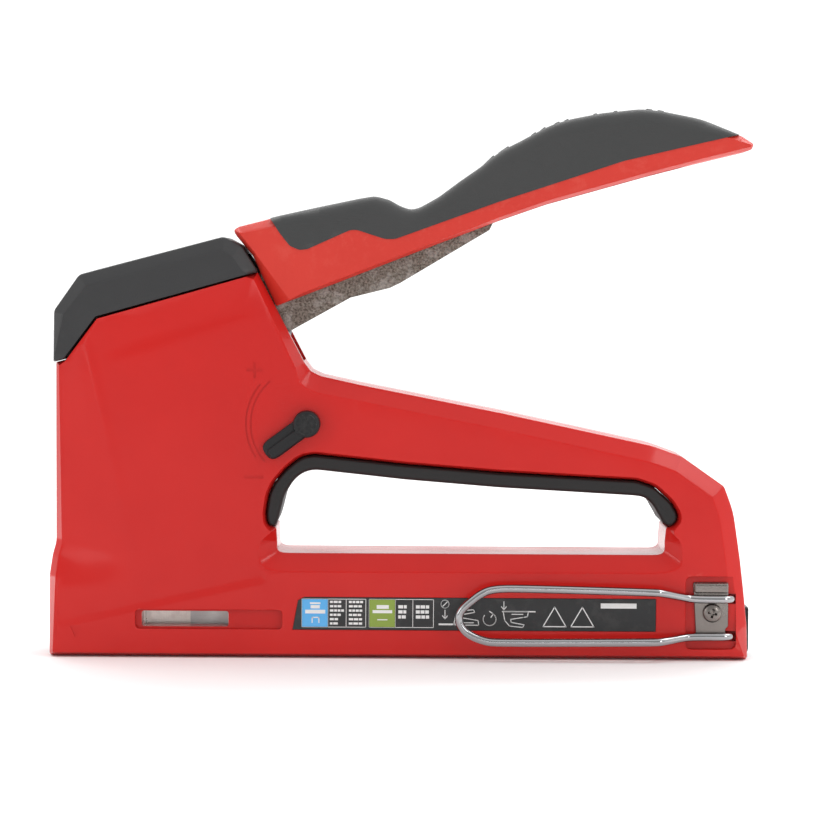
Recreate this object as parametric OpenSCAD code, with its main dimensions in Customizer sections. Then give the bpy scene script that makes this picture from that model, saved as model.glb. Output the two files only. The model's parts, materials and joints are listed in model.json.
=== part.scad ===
// Hand staple gun: a two-shell housing with a finger opening, a sprung squeeze lever,
// a vertical plunger with its driver blade, a pull-out magazine, a power knob and a belt hook.
// +X runs from the nose to the rear, +Z is up and -Y is the side with the knob and the belt hook.
// The origin is on the sole, midway between nose and rear, in the plane where the shells meet.

/* [Housing] */
// Length of the housing from nose to rear
tool_l = 207.5; // [172:0.5:250]
// Width over the flat sides of the housing
body_w = 31; // [25.5:0.5:38]
// Height of the head's rear top corner above the sole
head_h = 114; // [112:0.5:120]
// Height of the finger opening's floor above the sole
floor_h = 31; // [30:0.5:34]
// Wall thickness of the shells
wall = 3; // [2.2:0.1:4]
// Width of the bevel along the handle's top and the rear edge
bevel = 4.7; // [2:0.1:5.5]
// Thickness of the rubber insert under the handle
rubber_t = 4.6; // [3:0.1:6]

/* [Lever] */
// Distance of the lever's pivot behind the nose
pivot_back = 65.2; // [64:0.1:66]
// Distance from the pivot to the lever's roller
arm_l = 39.5; // [38.5:0.1:40]
// Angle of the arm below the horizontal when the lever is open
arm_rest = 18; // [16:1:20]
// Full turn of the lever when it is squeezed
lever_turn = 30; // [20:1:30]
// Width of the steel lever between its two side plates
lever_gap_w = 14; // [12:0.1:14.5]
// Thickness of the lever's steel
lever_t = 1.6; // [1.2:0.1:2]
// Width of the plastic lever cover
cover_w = 27; // [24:0.5:33]
// Radius of the pivot pin
pin_r = 3; // [2.4:0.1:3.6]
// Radius of the roller that lifts the plunger
roller_r = 3.2; // [2.6:0.1:3.9]

/* [Drive] */
// Depth of the plunger from front to back
plunger_d = 13.8; // [13:0.1:14]
// Width of the plunger
plunger_w = 14.4; // [13:0.1:15]
// Outer diameter of the power spring
spring_od = 11; // [9:0.1:11.4]
// Wire diameter of the power spring
spring_wire = 1.9; // [1.4:0.1:2.2]
// Thickness of the driver blade
blade_t = 1.2; // [1:0.1:1.4]
// Width of the driver blade
blade_w = 10.4; // [8.6:0.1:12.4]

/* [Magazine] */
// Outer width of a staple's crown
crown_w = 10.6; // [8.8:0.1:12.7]
// Thickness of the staple wire
staple_wire = 0.5; // [0.4:0.05:0.65]
// Length of the stick of staples
stick_l = 33.6; // [20:0.1:60]
// Leg length of the staples
staple_leg = 9.9; // [6:0.1:10.5]
// Travel of the magazine when it is pulled out
magazine_out = 95; // [60:1:110]

/* [Knob and hook] */
// Radius of the knob's round hub
knob_r = 4; // [3.2:0.1:4.8]
// Radius of the knob's shaft
knob_shaft_r = 2; // [1.6:0.1:2.4]
// Wire diameter of the belt hook
hook_wire = 2.4; // [2:0.1:3]
// Gap between the side of the housing and the belt hook
belt_gap = 4.6; // [4.1:0.1:6]
// Length of the belt hook in front of its clip
hook_l = 68; // [50:1:80]

/* [Fits] */
// Gap all round between faces that slide past each other
slide_gap = 0.35; // [0.3:0.05:0.5]
// Radial clearance of a shaft in its bore
run_gap = 0.06; // [0.02:0.01:0.1]
// Gap at the joint lines between fixed pieces
joint_gap = 0.1; // [0.05:0.05:0.2]

/* [Hidden] */
$fn = 48;

front_x = -tool_l / 2;
rear_x = tool_l / 2;
half_w = body_w / 2;
inner_w = half_w - wall;
throat_w = half_w - 3.5;
pivot_x = front_x + pivot_back;
pivot_z = head_h - 17;
lever_stretch = (tool_l - pivot_back) / 142.3;

// stack of parts behind the nose, measured from the nose backwards
nose_wall = 4.2;
plate_t = 1.4;
blade_front = nose_wall + plate_t + 0.25;
plunger_front = blade_front + blade_t + 0.25;
plunger_mid = plunger_front + plunger_d / 2;
plunger_back = plunger_front + plunger_d;

// heights in the magazine
track_t = 1;
track_top = 17.4;
crown_top = 14.9;
rail_top = crown_top - staple_wire - 0.1;
leg_bottom = crown_top - staple_leg;
rod_z = 9.2;
rod_r = 1.1;
track_in = crown_w / 2 + 0.4;
track_out = track_in + track_t;
rail_out = crown_w / 2 - staple_wire - 0.15;
rail_t = 1;
rail_in = rail_out - rail_t;
channel_w = track_out + 0.15;
channel_top = track_top + 0.3;
end_half = track_out + 1.2;
end_l = 14;
end_low = 7.3;
latch_top = 4.4;
pusher_front = plunger_front + 0.35 + stick_l + 0.2;
pusher_l = 17;

// heights in the head at rest
roller_x = pivot_x - arm_l * cos(arm_rest);
roller_z = pivot_z - arm_l * sin(arm_rest);
plunger_low = 52;
plunger_top = roller_z + 1.2;
spring_low = plunger_low + 4;
seat_z = head_h - 4.5;

knob_x = front_x + 76.35;
knob_z = 69.5;
screw_r = 1.5;
screw_spots = [
    [nx(36), 66], [nx(54), 42], [rx(73), 64.6], [rx(16.5), 46], [nx(88), 24.4], [rx(36), 24.4]
];
clip_screw = [rear_x - 11.1, 14.2];
hook_y = half_w + belt_gap + hook_wire / 2;
leg_up = 2.9 + hook_wire / 2;
leg_down = 5.8 + hook_wire / 2;
cover_spots = [[fx(84), head_h + 6.8], [bx(30), head_h + 33.5]];
window_box = [nx(25.8), 8.5, nx(69.3), 14.3];
window_open = [nx(27.6), 9.1, nx(53.3), 13.7];

// positions measured from the nose and from the rear
function nx(d) = front_x + d;
function rx(d) = rear_x - d;

// the same along the lever, whose shape stretches between its pivot and the rear
function px(d) = pivot_x + d * lever_stretch;
function fx(d) = px(d - pivot_back);
function bx(d) = rear_x - d * lever_stretch;

// positions along the handle, stretched between the head and the rear of its insert
function gx(d) = nx(78.6) + (d - 78.6) * (tool_l - 112.2) / 95.3;

// points of an arc about c, from angle a to angle b
function arc(c, r, a, b, n) = [for (i = [0:n]) c + r * [cos(a + (b - a) * i / n), sin(a + (b - a) * i / n)]];

// a closed outline moved inwards by k times each point's own third value
function unit(v) = v / norm(v);
function inward(a, b) = let (d = unit([b[0] - a[0], b[1] - a[1]])) [-d[1], d[0]];
function moved(p, k) = [for (i = [0:len(p) - 1])
    let (a = p[(i + len(p) - 1) % len(p)], c = p[(i + 1) % len(p)],
         m = inward(a, p[i]) + inward(p[i], c))
    [p[i][0], p[i][1]] + 2 * m / max(0.7, m * m) * p[i][2] * k];

// the triangles that fill a closed outline, cut off one corner at a time, the shortest cut first
function turn(a, b, c) = (b[0] - a[0]) * (c[1] - a[1]) - (b[1] - a[1]) * (c[0] - a[0]);
function covers(a, b, c, q) = q != a && q != b && q != c &&
    turn(a, b, q) >= 0 && turn(b, c, q) >= 0 && turn(c, a, q) >= 0;
function cut_ends(p, left, i) = [p[left[(i + len(left) - 1) % len(left)]], p[left[(i + 1) % len(left)]]];
function can_cut(p, left, i) = let (e = cut_ends(p, left, i), b = p[left[i]])
    turn(e[0], b, e[1]) > 0 && len([for (k = left) if (covers(e[0], b, e[1], p[k])) k]) == 0;
function filled(p, left) = len(left) == 3 ? [left] :
    let (n = len(left), cuts = [for (i = [0:n - 1]) if (can_cut(p, left, i)) i],
         spans = [for (i = cuts) let (e = cut_ends(p, left, i)) norm(e[1] - e[0])],
         i = cuts[search(min(spans), spans)[0]])
    concat([[left[(i + n - 1) % n], left[i], left[(i + 1) % n]]],
        filled(p, [for (k = [0:n - 1]) if (k != i) left[k]]));

// a closed skin through rings of equal length; each ring is [y, outline]
module skin(rings) {
    n = len(rings[0][1]);
    all = [for (i = [0:n - 1]) i];
    pts = [for (r = rings) for (q = r[1]) [q[0], r[0], q[1]]];
    side = [for (j = [0:len(rings) - 2]) for (i = [0:n - 1])
        let (a = j * n + i, b = j * n + (i + 1) % n)
        for (t = [[a, a + n, b + n], [a, b + n, b]]) t];
    last = (len(rings) - 1) * n;
    far = [for (t = filled(rings[len(rings) - 1][1], all)) [last + t[2], last + t[1], last + t[0]]];
    polyhedron(pts, concat(filled(rings[0][1], all), side, far));
}

// a flat outline in the X-Z plane, given thickness from y0 to y1
module slab(y0, y1) {
    rotate([90, 0, 0]) translate([0, 0, -y1]) linear_extrude(y1 - y0) children();
}

// a round bar along Y
module bar_y(x, z, r, y0, y1) {
    translate([x, y0, z]) rotate([-90, 0, 0]) cylinder(r = r, h = y1 - y0);
}

module box(x0, x1, y0, y1, z0, z1) {
    translate([x0, y0, z0]) cube([x1 - x0, y1 - y0, z1 - z0]);
}

// a box that is the same on both sides of the middle plane
module mid_box(x0, x1, half, z0, z1) {
    box(x0, x1, -half, half, z0, z1);
}

// a pair of boxes, one on each side of the middle plane
module side_boxes(x0, x1, y0, y1, z0, z1) {
    for (s = [0, 1]) mirror([0, s, 0]) box(x0, x1, y0, y1, z0, z1);
}

module round_rect(b, r) {
    hull() for (x = [b[0] + r, b[2] - r], z = [b[1] + r, b[3] - r]) translate([x, z]) circle(r, $fn = 32);
}

// a path with each of its corners rounded off over the distance d
function eased(path, d) = concat([path[0]],
    [for (i = [1:len(path) - 2])
        let (p = path[i], a = p + d * unit(path[i - 1] - p), b = p + d * unit(path[i + 1] - p))
        for (t = [0:0.25:1]) (1 - t) * (1 - t) * a + 2 * t * (1 - t) * p + t * t * b],
    [path[len(path) - 1]]);

// directions square to a path, carried along it without twisting
function tangents(p) = [for (i = [0:len(p) - 1]) unit(p[min(i + 1, len(p) - 1)] - p[max(i - 1, 0)])];
function carried(t, u, i) = i == len(t) ? [] :
    let (v = unit(u - t[i] * (u * t[i]))) concat([v], carried(t, v, i + 1));

// a round wire along a path
module wire(path, r, sides = 10) {
    t = tangents(path);
    u = carried(t, [0.1, 0.2, 1], 0);
    pts = [for (i = [0:len(path) - 1]) for (k = [0:sides - 1])
        let (a = 360 * k / sides) path[i] + r * (cos(a) * u[i] + sin(a) * cross(t[i], u[i]))];
    last = (len(path) - 1) * sides;
    side = [for (i = [0:len(path) - 2]) for (k = [0:sides - 1])
        let (a = i * sides + k, b = i * sides + (k + 1) % sides)
        for (f = [[a, a + sides, b + sides], [a, b + sides, b]]) f];
    polyhedron(pts, concat([[for (k = [0:sides - 1]) k]], side, [[for (k = [sides - 1:-1:0]) last + k]]));
}

// one turn after another of a coil about +Z, standing on z = 0
module coil(r, wire_r, h, turns, steps = 16, sides = 6) {
    n = ceil(turns * steps);
    rings = [for (i = [0:n])
        let (a = 360 * turns * i / n, z = wire_r + (h - 2 * wire_r) * i / n)
        [for (k = [0:sides - 1]) let (b = 360 * k / sides)
            [(r + wire_r * cos(b)) * cos(a), (r + wire_r * cos(b)) * sin(a), z + wire_r * sin(b)]]];
    pts = [for (q = rings) for (p = q) p];
    side = [for (j = [0:n - 1]) for (k = [0:sides - 1])
        let (a = j * sides + k, b = j * sides + (k + 1) % sides)
        for (t = [[a, a + sides, b + sides], [a, b + sides, b]]) t];
    polyhedron(pts, concat([[for (k = [0:sides - 1]) k]], side, [[for (k = [sides - 1:-1:0]) n * sides + k]]));
}

// ---- housing ----

// side view of the housing; the third value is the width of the edge's bevel
function housing_outline() = [
    [nx(0), 0, 1.4], [rx(0), 0, 1.4], [rx(0.3), 10, bevel - 0.4], [rx(1.3), 20, bevel], [rx(2.5), 30, bevel],
    [rx(4.6), 44, bevel], [rx(7.6), 51.6, bevel], [rx(13.5), 56.6, bevel], [rx(20), 60.6, bevel],
    [rx(29), 63.6, bevel], [rx(74), 72.9, bevel], [nx(91.7), 81, bevel], [nx(80.5), 83.4, 3.6],
    [nx(77.3), 84.9, 2.6], [nx(75.4), 87.4, 2.4], [nx(61.45), head_h, 2],
    [nx(14.2), head_h - 13.6, 0.2], [nx(4.8), head_h - 26.1, 0.2], [nx(2), head_h - 26.9, 1.2],
    [nx(2), 34, 2], [nx(0.9), 30, 2], [nx(0), 23, 2.2]
];

// the finger opening with the seat of the rubber insert; the third value is its outward bevel
function opening_outline() = concat(
    [for (p = arc([nx(71), floor_h + 3.4], 3.4, 180, 270, 4)) [p[0], p[1], -5.4]],
    [for (p = arc([rx(28.4), floor_h + 3.4], 3.4, 270, 360, 4)) [p[0], p[1], -5.2]],
    [[rx(24.6), 39.2, -2.4]],
    insert_outer(-1),
    [[nx(67.3), 38.6, -1.2]]
);

// outer edge of the rubber insert, from its rear end over the top to its front end
function insert_outer(c) = [
    [rx(23.2), 39.4, c], [rx(21.4), 41.2, c], [rx(21.3), 43.4, c], [rx(23.4), 46.9, c], [rx(28.3), 51.4, c],
    [rx(33.6), 53.2, c], [gx(133.5), 55.3, c], [gx(105.5), 57.5, c], [nx(78.6), 60.3, c], [nx(74.5), 59.7, c],
    [nx(69.9), 55.8, c], [nx(66.7), 51.9, c], [nx(65.2), 48.6, c], [nx(64.3), 42.9, c],
    [nx(64.6), 40.2, c], [nx(65.6), 38.9, c]
];

// centre-side edge of the rubber insert, from its front end back to its rear end
function insert_inner(c) = [
    [nx(67.6), 38.9, c], [nx(69.9), 48.4, c], [nx(72.9), 53, c], [nx(75.6), 55, c], [nx(78.7), 60.3 - rubber_t, c],
    [gx(105.3), 57.5 - rubber_t, c], [gx(133.5), 55.3 - rubber_t, c], [rx(34.8), 53.2 - rubber_t, c],
    [rx(31.2), 48.2, c], [rx(28.8), 45.8, c], [rx(26.6), 42, c], [rx(25.6), 40, c]
];

// one solid half of the housing, on the -Y side
module shell_block() {
    o = housing_outline();
    skin([[-joint_gap / 2, moved(o, 0)], [-half_w + 4.2, moved(o, 0.1)], [-half_w, moved(o, 1)]]);
}

// the opening grows wider towards the flat side, which leaves a sloping band round it
module opening_cut() {
    o = opening_outline();
    skin([[1, moved(o, 0)], [-throat_w, moved(o, 0)], [-half_w, moved(o, 1)], [-half_w - 1, moved(o, 1.2)]]);
}

// the head's side tapers a little towards the nose
module nose_taper() {
    side = [[nx(27.4), 21, 0], [nx(11), 92, 0], [nx(-3), 92, 1.8], [nx(-3), 33, 3.4], [nx(-3), 21, 0]];
    n = len(side);
    pts = concat([for (p = side) [p[0], -half_w + p[2], p[1]]], [for (p = side) [p[0], -half_w - 2, p[1]]]);
    polyhedron(pts, concat(
        [for (i = [1:n - 2]) [0, i, i + 1]], [for (i = [1:n - 2]) [n, n + i + 1, n + i]],
        [for (i = [0:n - 1]) let (j = (i + 1) % n) for (t = [[i, i + n, j + n], [i, j + n, j]]) t]
    ));
}

// hollow inside of one half
module shell_hollow() {
    slab(-plunger_w / 2 - 1, 1) polygon([
        [nx(nose_wall), -1], [nx(plunger_back + 2), -1], [nx(plunger_back + 2), head_h + 9],
        [nx(nose_wall), head_h + 9]
    ]);
    slab(-inner_w, 1) polygon([
        [nx(plunger_back - 0.6), channel_top + 2], [nx(61.5), channel_top + 2], [nx(61.5), 60],
        [nx(66), 64], [nx(66), 84], [nx(57), 92], [nx(57), head_h + 9], [nx(plunger_back - 0.6), head_h + 9]
    ]);
    slab(-lever_gap_w / 2 - lever_t - 0.6, 1) polygon([
        [nx(50), 84], [nx(72), 87], [nx(90), 92], [nx(90), head_h + 9], [nx(50), head_h + 9]
    ]);
    slab(-inner_w + 0.5, 1) polygon([
        [nx(80), 64], [gx(105.5), 60.5], [gx(133.5), 58.5], [rx(36), 56.4], [rx(24), 54.5],
        [rx(24), 57.6], [rx(30), 59.8], [gx(133.5), 69], [nx(92), 77], [nx(84), 78.5], [nx(80), 76]
    ]);
    slab(-inner_w + 0.5, 1) polygon([
        [rx(18.4), 22], [rx(5), 22], [rx(6.6), 40], [rx(10.5), 49], [rx(18.4), 50]
    ]);
    slab(-throat_w + 2, 1) polygon([
        [nx(66), channel_top + 2], [rx(22), channel_top + 2], [rx(22), floor_h - 2.4], [nx(66), floor_h - 2.4]
    ]);
    box(nx(0) - 1, rear_x + 1, -channel_w, 1, -1, channel_top);
    box(nx(72), rx(24), -inner_w, 1, 1.8, channel_top - 1);
    box(rx(1.2 + slide_gap), rear_x + 1, -end_half - slide_gap, 1, -1, channel_top);
}

// boss round a screw, from the shells' meeting plane into the wall
module screw_boss(p) {
    bar_y(p[0], p[1], 3.6, -inner_w - 1, -joint_gap / 2);
}

module housing_half() {
    difference() {
        union() {
            difference() {
                shell_block();
                shell_hollow();
            }
            for (p = screw_spots) screw_boss(p);
            for (x = [nx(92), nx(122), rx(44)])
                box(x - 1, x + 1, -inner_w - 0.5, -channel_w, 1, channel_top);
        }
        opening_cut();
        nose_taper();
        slab(-half_w - 1, -half_w + 2) round_rect(window_box, 1.4);
        slab(-half_w - 1, 1) round_rect(window_open, 0.8);
        bar_y(pivot_x, pivot_z, pin_r, -inner_w, 1);
        slab(-half_w - 1, -half_w + 0.5) label_shape(0.15);
    }
}

module label_shape(grow) {
    x0 = nx(72.4) - grow;
    x1 = rx(27.7) + grow;
    z0 = 8.6 - grow;
    z1 = 18.2 + grow;
    polygon([[x0, z0], [x1, z0], [x1, z1], [x0 + 3.4, z1], [x0 + 1.6, z1 - 1]]);
}

// bores and pockets that only the knob's side has
module hook_recess() {
    slab(-half_w - 1, -half_w + 1.6) round_rect([rx(18.9), 3.4, rx(3.9), 25], 2);
    for (z = [clip_screw[1] - leg_down, clip_screw[1] + leg_up])
        box(rx(10.5), rx(3.9), -half_w - 1, -half_w + 4.6, z - hook_wire / 2 - 0.3, z + hook_wire / 2 + 0.3);
    bar_y(clip_screw[0], clip_screw[1], screw_r + 0.1, -half_w - 1, -channel_w - 0.6);
    slab(-half_w + 3, -half_w + 5.6) translate(clip_screw) square(6, center = true);
}

module left_housing() {
    color([0.75, 0.1, 0.08]) difference() {
        housing_half();
        hook_recess();
        for (p = screw_spots) bar_y(p[0], p[1], screw_r, -inner_w + 1.2, 1);
        bar_y(knob_x, knob_z, knob_shaft_r + run_gap, -half_w - 1, 1);
        bar_y(knob_x, knob_z, 5.6, -inner_w + 0.5, 1);
    }
}

module right_housing() {
    color([0.75, 0.1, 0.08]) difference() {
        mirror([0, 1, 0]) housing_half();
        for (p = screw_spots) {
            bar_y(p[0], p[1], screw_r + 0.15, -1, half_w + 1);
            bar_y(p[0], p[1], 3.1, half_w - 2.6, half_w + 1);
        }
    }
}

module housing_screws() {
    color("silver") for (p = screw_spots) {
        difference() {
            bar_y(p[0], p[1], 2.8, half_w - 2.55, half_w - 0.5);
            for (a = [0, 90]) translate([p[0], half_w - 0.5, p[1]]) rotate([0, a, 0])
                cube([3.2, 2.4, 0.7], center = true);
        }
        bar_y(p[0], p[1], screw_r, -inner_w + 3, half_w - 2.55);
    }
}

// side view of the black cap on top of the head
function cap_outline() = [
    [nx(61.6), head_h + joint_gap, 0.3], [nx(61.1), head_h + 1, 2.2], [nx(56.9), head_h + 7.7, 2.6],
    [nx(51.6), head_h + 10.5, 2.6], [nx(14.3), head_h + 0.5, 2.6], [nx(8.9), head_h - 1, 2.6],
    [nx(1.5), head_h - 11.6, 2.6], [nx(1.4), head_h - 26.8, 0.3], [nx(4.7), head_h - 26 + joint_gap, 0.3],
    [nx(14.1), head_h - 13.5 + joint_gap, 0.3]
];

function cap_hollow() = [
    [nx(58.4), head_h - 4], [nx(57.4), head_h + 3], [nx(55.6), head_h + 6.2], [nx(51.4), head_h + 7.8],
    [nx(14.6), head_h - 2], [nx(9.6), head_h - 3.2], [nx(nose_wall), head_h - 10.6],
    [nx(nose_wall), head_h - 30], [nx(14), head_h - 30], [nx(18), head_h - 16]
];

module top_cap() {
    o = cap_outline();
    color([0.2, 0.2, 0.2]) difference() {
        skin([
            [half_w + 0.1, moved(o, 1)], [half_w - 2.6, moved(o, 0)],
            [-half_w + 2.6, moved(o, 0)], [-half_w - 0.1, moved(o, 1)]
        ]);
        slab(-inner_w, inner_w) polygon(cap_hollow());
        slab(-lever_gap_w / 2 - lever_t - 0.6, lever_gap_w / 2 + lever_t + 0.6) polygon([
            [nx(50), head_h - 12], [nx(64), head_h - 12], [nx(64), head_h + 5.5], [nx(50), head_h + 5.5]
        ]);
    }
}

module grip_insert() {
    o = concat(insert_outer(0.7), insert_inner(1.4));
    color([0.18, 0.18, 0.18]) skin([
        [throat_w + 2.2, moved(o, 1)], [throat_w, moved(o, 0.25)],
        [-throat_w, moved(o, 0.25)], [-throat_w - 2.2, moved(o, 1)]
    ]);
}

module left_label() {
    color([0.15, 0.15, 0.15]) slab(-half_w - 0.05, -half_w + 0.45) label_shape(0);
}

module right_label() {
    color([0.15, 0.15, 0.15]) slab(half_w - 0.45, half_w + 0.05) label_shape(0);
}

// ---- nose, guide and seat ----

module nose_plate() {
    color("slategray") union() {
        mid_box(nx(nose_wall + 0.05), nx(nose_wall + plate_t), plunger_w / 2 + 0.8, 0.4, 46);
        side_boxes(nx(nose_wall + 0.05), nx(plunger_back - 2), plunger_w / 2 - 0.3, plunger_w / 2 + 0.8,
            channel_top + 1, 46);
    }
}

module guide_block() {
    color("dimgray") difference() {
        mid_box(nx(plunger_front + 0.1), nx(plunger_back + 1.4), plunger_w / 2 - 0.4, channel_top + 0.2, 47.4);
        box(nx(plunger_front), nx(plunger_front + 0.5), -blade_w / 2 - 0.4, blade_w / 2 + 0.4, channel_top, 48);
        bar_y(nx(plunger_mid), 33, 3.4, -plunger_w, plunger_w);
    }
}

module plunger_bumper() {
    color([0.12, 0.12, 0.12]) mid_box(nx(plunger_front + 0.4), nx(plunger_back), plunger_w / 2 - 0.6, 47.5,
        plunger_low - 0.05);
}

module spring_seat() {
    color("silver") translate([nx(plunger_mid), 0, seat_z]) {
        cylinder(r = spring_od / 2 + 0.1, h = 1.6);
        translate([0, 0, -3]) cylinder(r = spring_od / 2 - spring_wire - 0.3, h = 3.2);
        translate([0, 0, 1]) cylinder(r = 2, h = 0.9);
    }
}

module magazine_track() {
    color("lightsteelblue") difference() {
        mid_box(nx(plunger_front + 0.2), rx(1.4), track_out, 0, track_top);
        mid_box(nx(plunger_front), rear_x, track_in, track_t, track_top - track_t);
        mid_box(nx(plunger_front), rear_x, 2.6, track_top - track_t - 1, track_top + 1);
        slab(-half_w, half_w) round_rect([window_open[0] + 0.5, 8.6, window_open[2] - 0.5, 13.9], 0.6);
        mid_box(rx(21), rx(15), 3.4, -1, track_t + 0.5);
        mid_box(rx(13.6), rear_x, track_in - 0.6, -1, track_t + 0.5);
    }
}

// ---- lever ----

module pivot_pin() {
    color("silver") bar_y(pivot_x, pivot_z, pin_r, -inner_w, inner_w);
}

module pivot_rings() {
    color("white") for (s = [0, 1]) mirror([0, s, 0]) difference() {
        bar_y(pivot_x, pivot_z, pin_r + 1, lever_gap_w / 2 + lever_t + 0.15, lever_gap_w / 2 + lever_t + 0.5);
        bar_y(pivot_x, pivot_z, pin_r, lever_gap_w / 2, half_w);
    }
}

// top of the steel lever, from rear to front, raised or lowered by dz
function lever_ridge(dz) = [for (p = [
    [bx(20), head_h + 38.2], [bx(60), head_h + 36.6], [bx(84), head_h + 24.4], [bx(100), head_h + 14.4],
    [fx(97), head_h + 13.4], [fx(70), head_h + 10.6]
]) p + [0, dz]];

// side view of the steel lever behind its pivot
function lever_side() = concat([
    [pivot_x - 4.6, pivot_z - 2], [pivot_x + 1, pivot_z - 4.6], [pivot_x + 5.3, pivot_z - 0.6],
    [px(23.5), pivot_z + 9.6], [px(35.3), pivot_z + 12.6], [px(38.4), pivot_z + 14.1],
    [px(64.7), pivot_z + 29.9], [bx(74), head_h + 20.4], [bx(22), head_h + 33.6]
], lever_ridge(0), [[nx(62.5), head_h + 6.8], [pivot_x - 3, pivot_z + 14], [pivot_x - 5.4, pivot_z + 5]]);

// side view of the arm in front of the pivot
module arm_side() {
    hull() {
        translate([roller_x, roller_z]) circle(4.2);
        translate([pivot_x, pivot_z]) circle(5);
    }
}

module lever_arm() {
    o = lever_gap_w / 2;
    low = lever_ridge(-1.25 * lever_t);
    color([0.45, 0.4, 0.35]) difference() {
        union() {
            for (s = [0, 1]) mirror([0, s, 0]) {
                slab(o, o + lever_t) polygon(lever_side());
                slab(o, o + lever_t) arm_side();
            }
            slab(-o - 0.2, o + 0.2) polygon(concat(lever_ridge(0), [for (i = [len(low) - 1:-1:0]) low[i]]));
        }
        bar_y(pivot_x, pivot_z, pin_r + 1.2, -half_w, half_w);
        bar_y(roller_x, roller_z, 1.5, -half_w, half_w);
        for (p = cover_spots) bar_y(p[0], p[1], screw_r, -half_w, half_w);
    }
}

// side view of the plastic cover; the third value is its edge bevel
function cover_outline() = [
    [fx(70.9), head_h - 8.4, 0.8], [fx(115.2), head_h + 8.9, 1.2], [fx(127), head_h + 13.4, 1.2],
    [bx(74.5), head_h + 15.8, 1.2], [bx(60), head_h + 20.9, 1.2], [bx(30.5), head_h + 29.3, 1.2],
    [bx(15.7), head_h + 33.2, 1.2], [bx(0.4), head_h + 37, 0.9], [bx(-0.3), head_h + 38.6, 0.9],
    [bx(3), head_h + 40.8, 2.4], [bx(15.1), head_h + 45.7, 2.8], [bx(27), head_h + 48, 3],
    [bx(33), head_h + 48.6, 3], [bx(44.7), head_h + 47.3, 3], [bx(53.7), head_h + 45.5, 3],
    [bx(59.7), head_h + 43.7, 3], [bx(68.5), head_h + 38.9, 3], [bx(74.5), head_h + 35.9, 3],
    [bx(80.4), head_h + 31.1, 3], [bx(86.4), head_h + 26.9, 3], [bx(92.4), head_h + 22.4, 3],
    [bx(98.2), head_h + 19.1, 3], [bx(101), head_h + 18.5, 3], [bx(104.2), head_h + 19.7, 3],
    [bx(107.2), head_h + 21.4, 3], [fx(96), head_h + 22.5, 3], [fx(91.4), head_h + 21.7, 3],
    [fx(79.6), head_h + 19.2, 2.6], [fx(67.6), head_h + 16.5, 2.4], [nx(55.8), head_h + 13.4, 2.2],
    [nx(53.9), head_h + 12.2, 1.4]
];

// line between the cover's plastic and its soft grip, from front to rear
function grip_line() = [
    [fx(65.1), head_h + 15.9], [fx(68.2), head_h + 11.3], [fx(71), head_h + 7.8], [fx(73.8), head_h + 6.6],
    [fx(76.2), head_h + 6.9], [fx(88.8), head_h + 12.6], [fx(90.8), head_h + 12.6], [fx(99), head_h + 10],
    [fx(102), head_h + 10], [bx(74.7), head_h + 21.2], [bx(38), head_h + 33.4], [bx(3), head_h + 41.6]
];

module grip_region(grow) {
    polygon(concat([for (p = grip_line()) p - [0, grow]], [[rx(-4), head_h + 60], [nx(63), head_h + 60]]));
}

module cover_block() {
    w = cover_w / 2;
    o = cover_outline();
    skin([[w, moved(o, 1)], [w - 3, moved(o, 0.15)], [-w + 3, moved(o, 0.15)], [-w, moved(o, 1)]]);
}

// space in the cover for the steel lever
module cover_hollow() {
    o = lever_gap_w / 2 + lever_t + 0.1;
    slab(-o, o) polygon(concat(
        [[nx(60), head_h - 20], [fx(115), head_h + 4], [bx(74), head_h + 14], [bx(19.6), head_h + 31.6]],
        [[bx(19.6), head_h + 38.4]], lever_ridge(0.2), [[nx(61.8), head_h + 7.2], [nx(55), head_h - 8]]
    ));
}

module lever_cover() {
    color([0.82, 0.22, 0.16]) difference() {
        cover_block();
        cover_hollow();
        slab(-cover_w, cover_w) grip_region(0);
        for (p = cover_spots) bar_y(p[0], p[1], screw_r, -half_w, cover_w / 2 - 2);
    }
}

module lever_grip() {
    color([0.25, 0.25, 0.25]) difference() {
        intersection() {
            cover_block();
            slab(-cover_w, cover_w) grip_region(-0.02);
        }
        cover_hollow();
    }
}

module cover_screws() {
    color("silver") for (p = cover_spots)
        bar_y(p[0], p[1], screw_r, -lever_gap_w / 2 - lever_t, cover_w / 2 - 2);
}

module lever_roller() {
    color("gray") difference() {
        bar_y(roller_x, roller_z, roller_r, -lever_gap_w / 2 + 0.3, lever_gap_w / 2 - 0.3);
        bar_y(roller_x, roller_z, 1.5 + run_gap, -lever_gap_w, lever_gap_w);
    }
}

module roller_pin() {
    color("silver") bar_y(roller_x, roller_z, 1.5, -lever_gap_w / 2 - lever_t, lever_gap_w / 2 + lever_t);
}

module lever_bush() {
    color("burlywood") difference() {
        bar_y(pivot_x, pivot_z, pin_r + 1.2, -lever_gap_w / 2 - lever_t, lever_gap_w / 2 + lever_t);
        bar_y(pivot_x, pivot_z, pin_r + run_gap, -half_w, half_w);
    }
}

// torsion spring round the bush, with one leg along the arm
module return_spring() {
    r = pin_r + 2.3;
    color("silver") for (y = [-4:1.3:4]) translate([pivot_x, y, pivot_z]) rotate([90, 0, 0])
        rotate_extrude() translate([r, 0]) circle(0.6, $fn = 24);
    leg = [[-r, 1], [-12, -2], [-18, -4]];
    color("silver") wire([for (p = leg) [pivot_x + p[0], -4, pivot_z + p[1]]], 0.6, 8);
}

// ---- plunger ----

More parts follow.
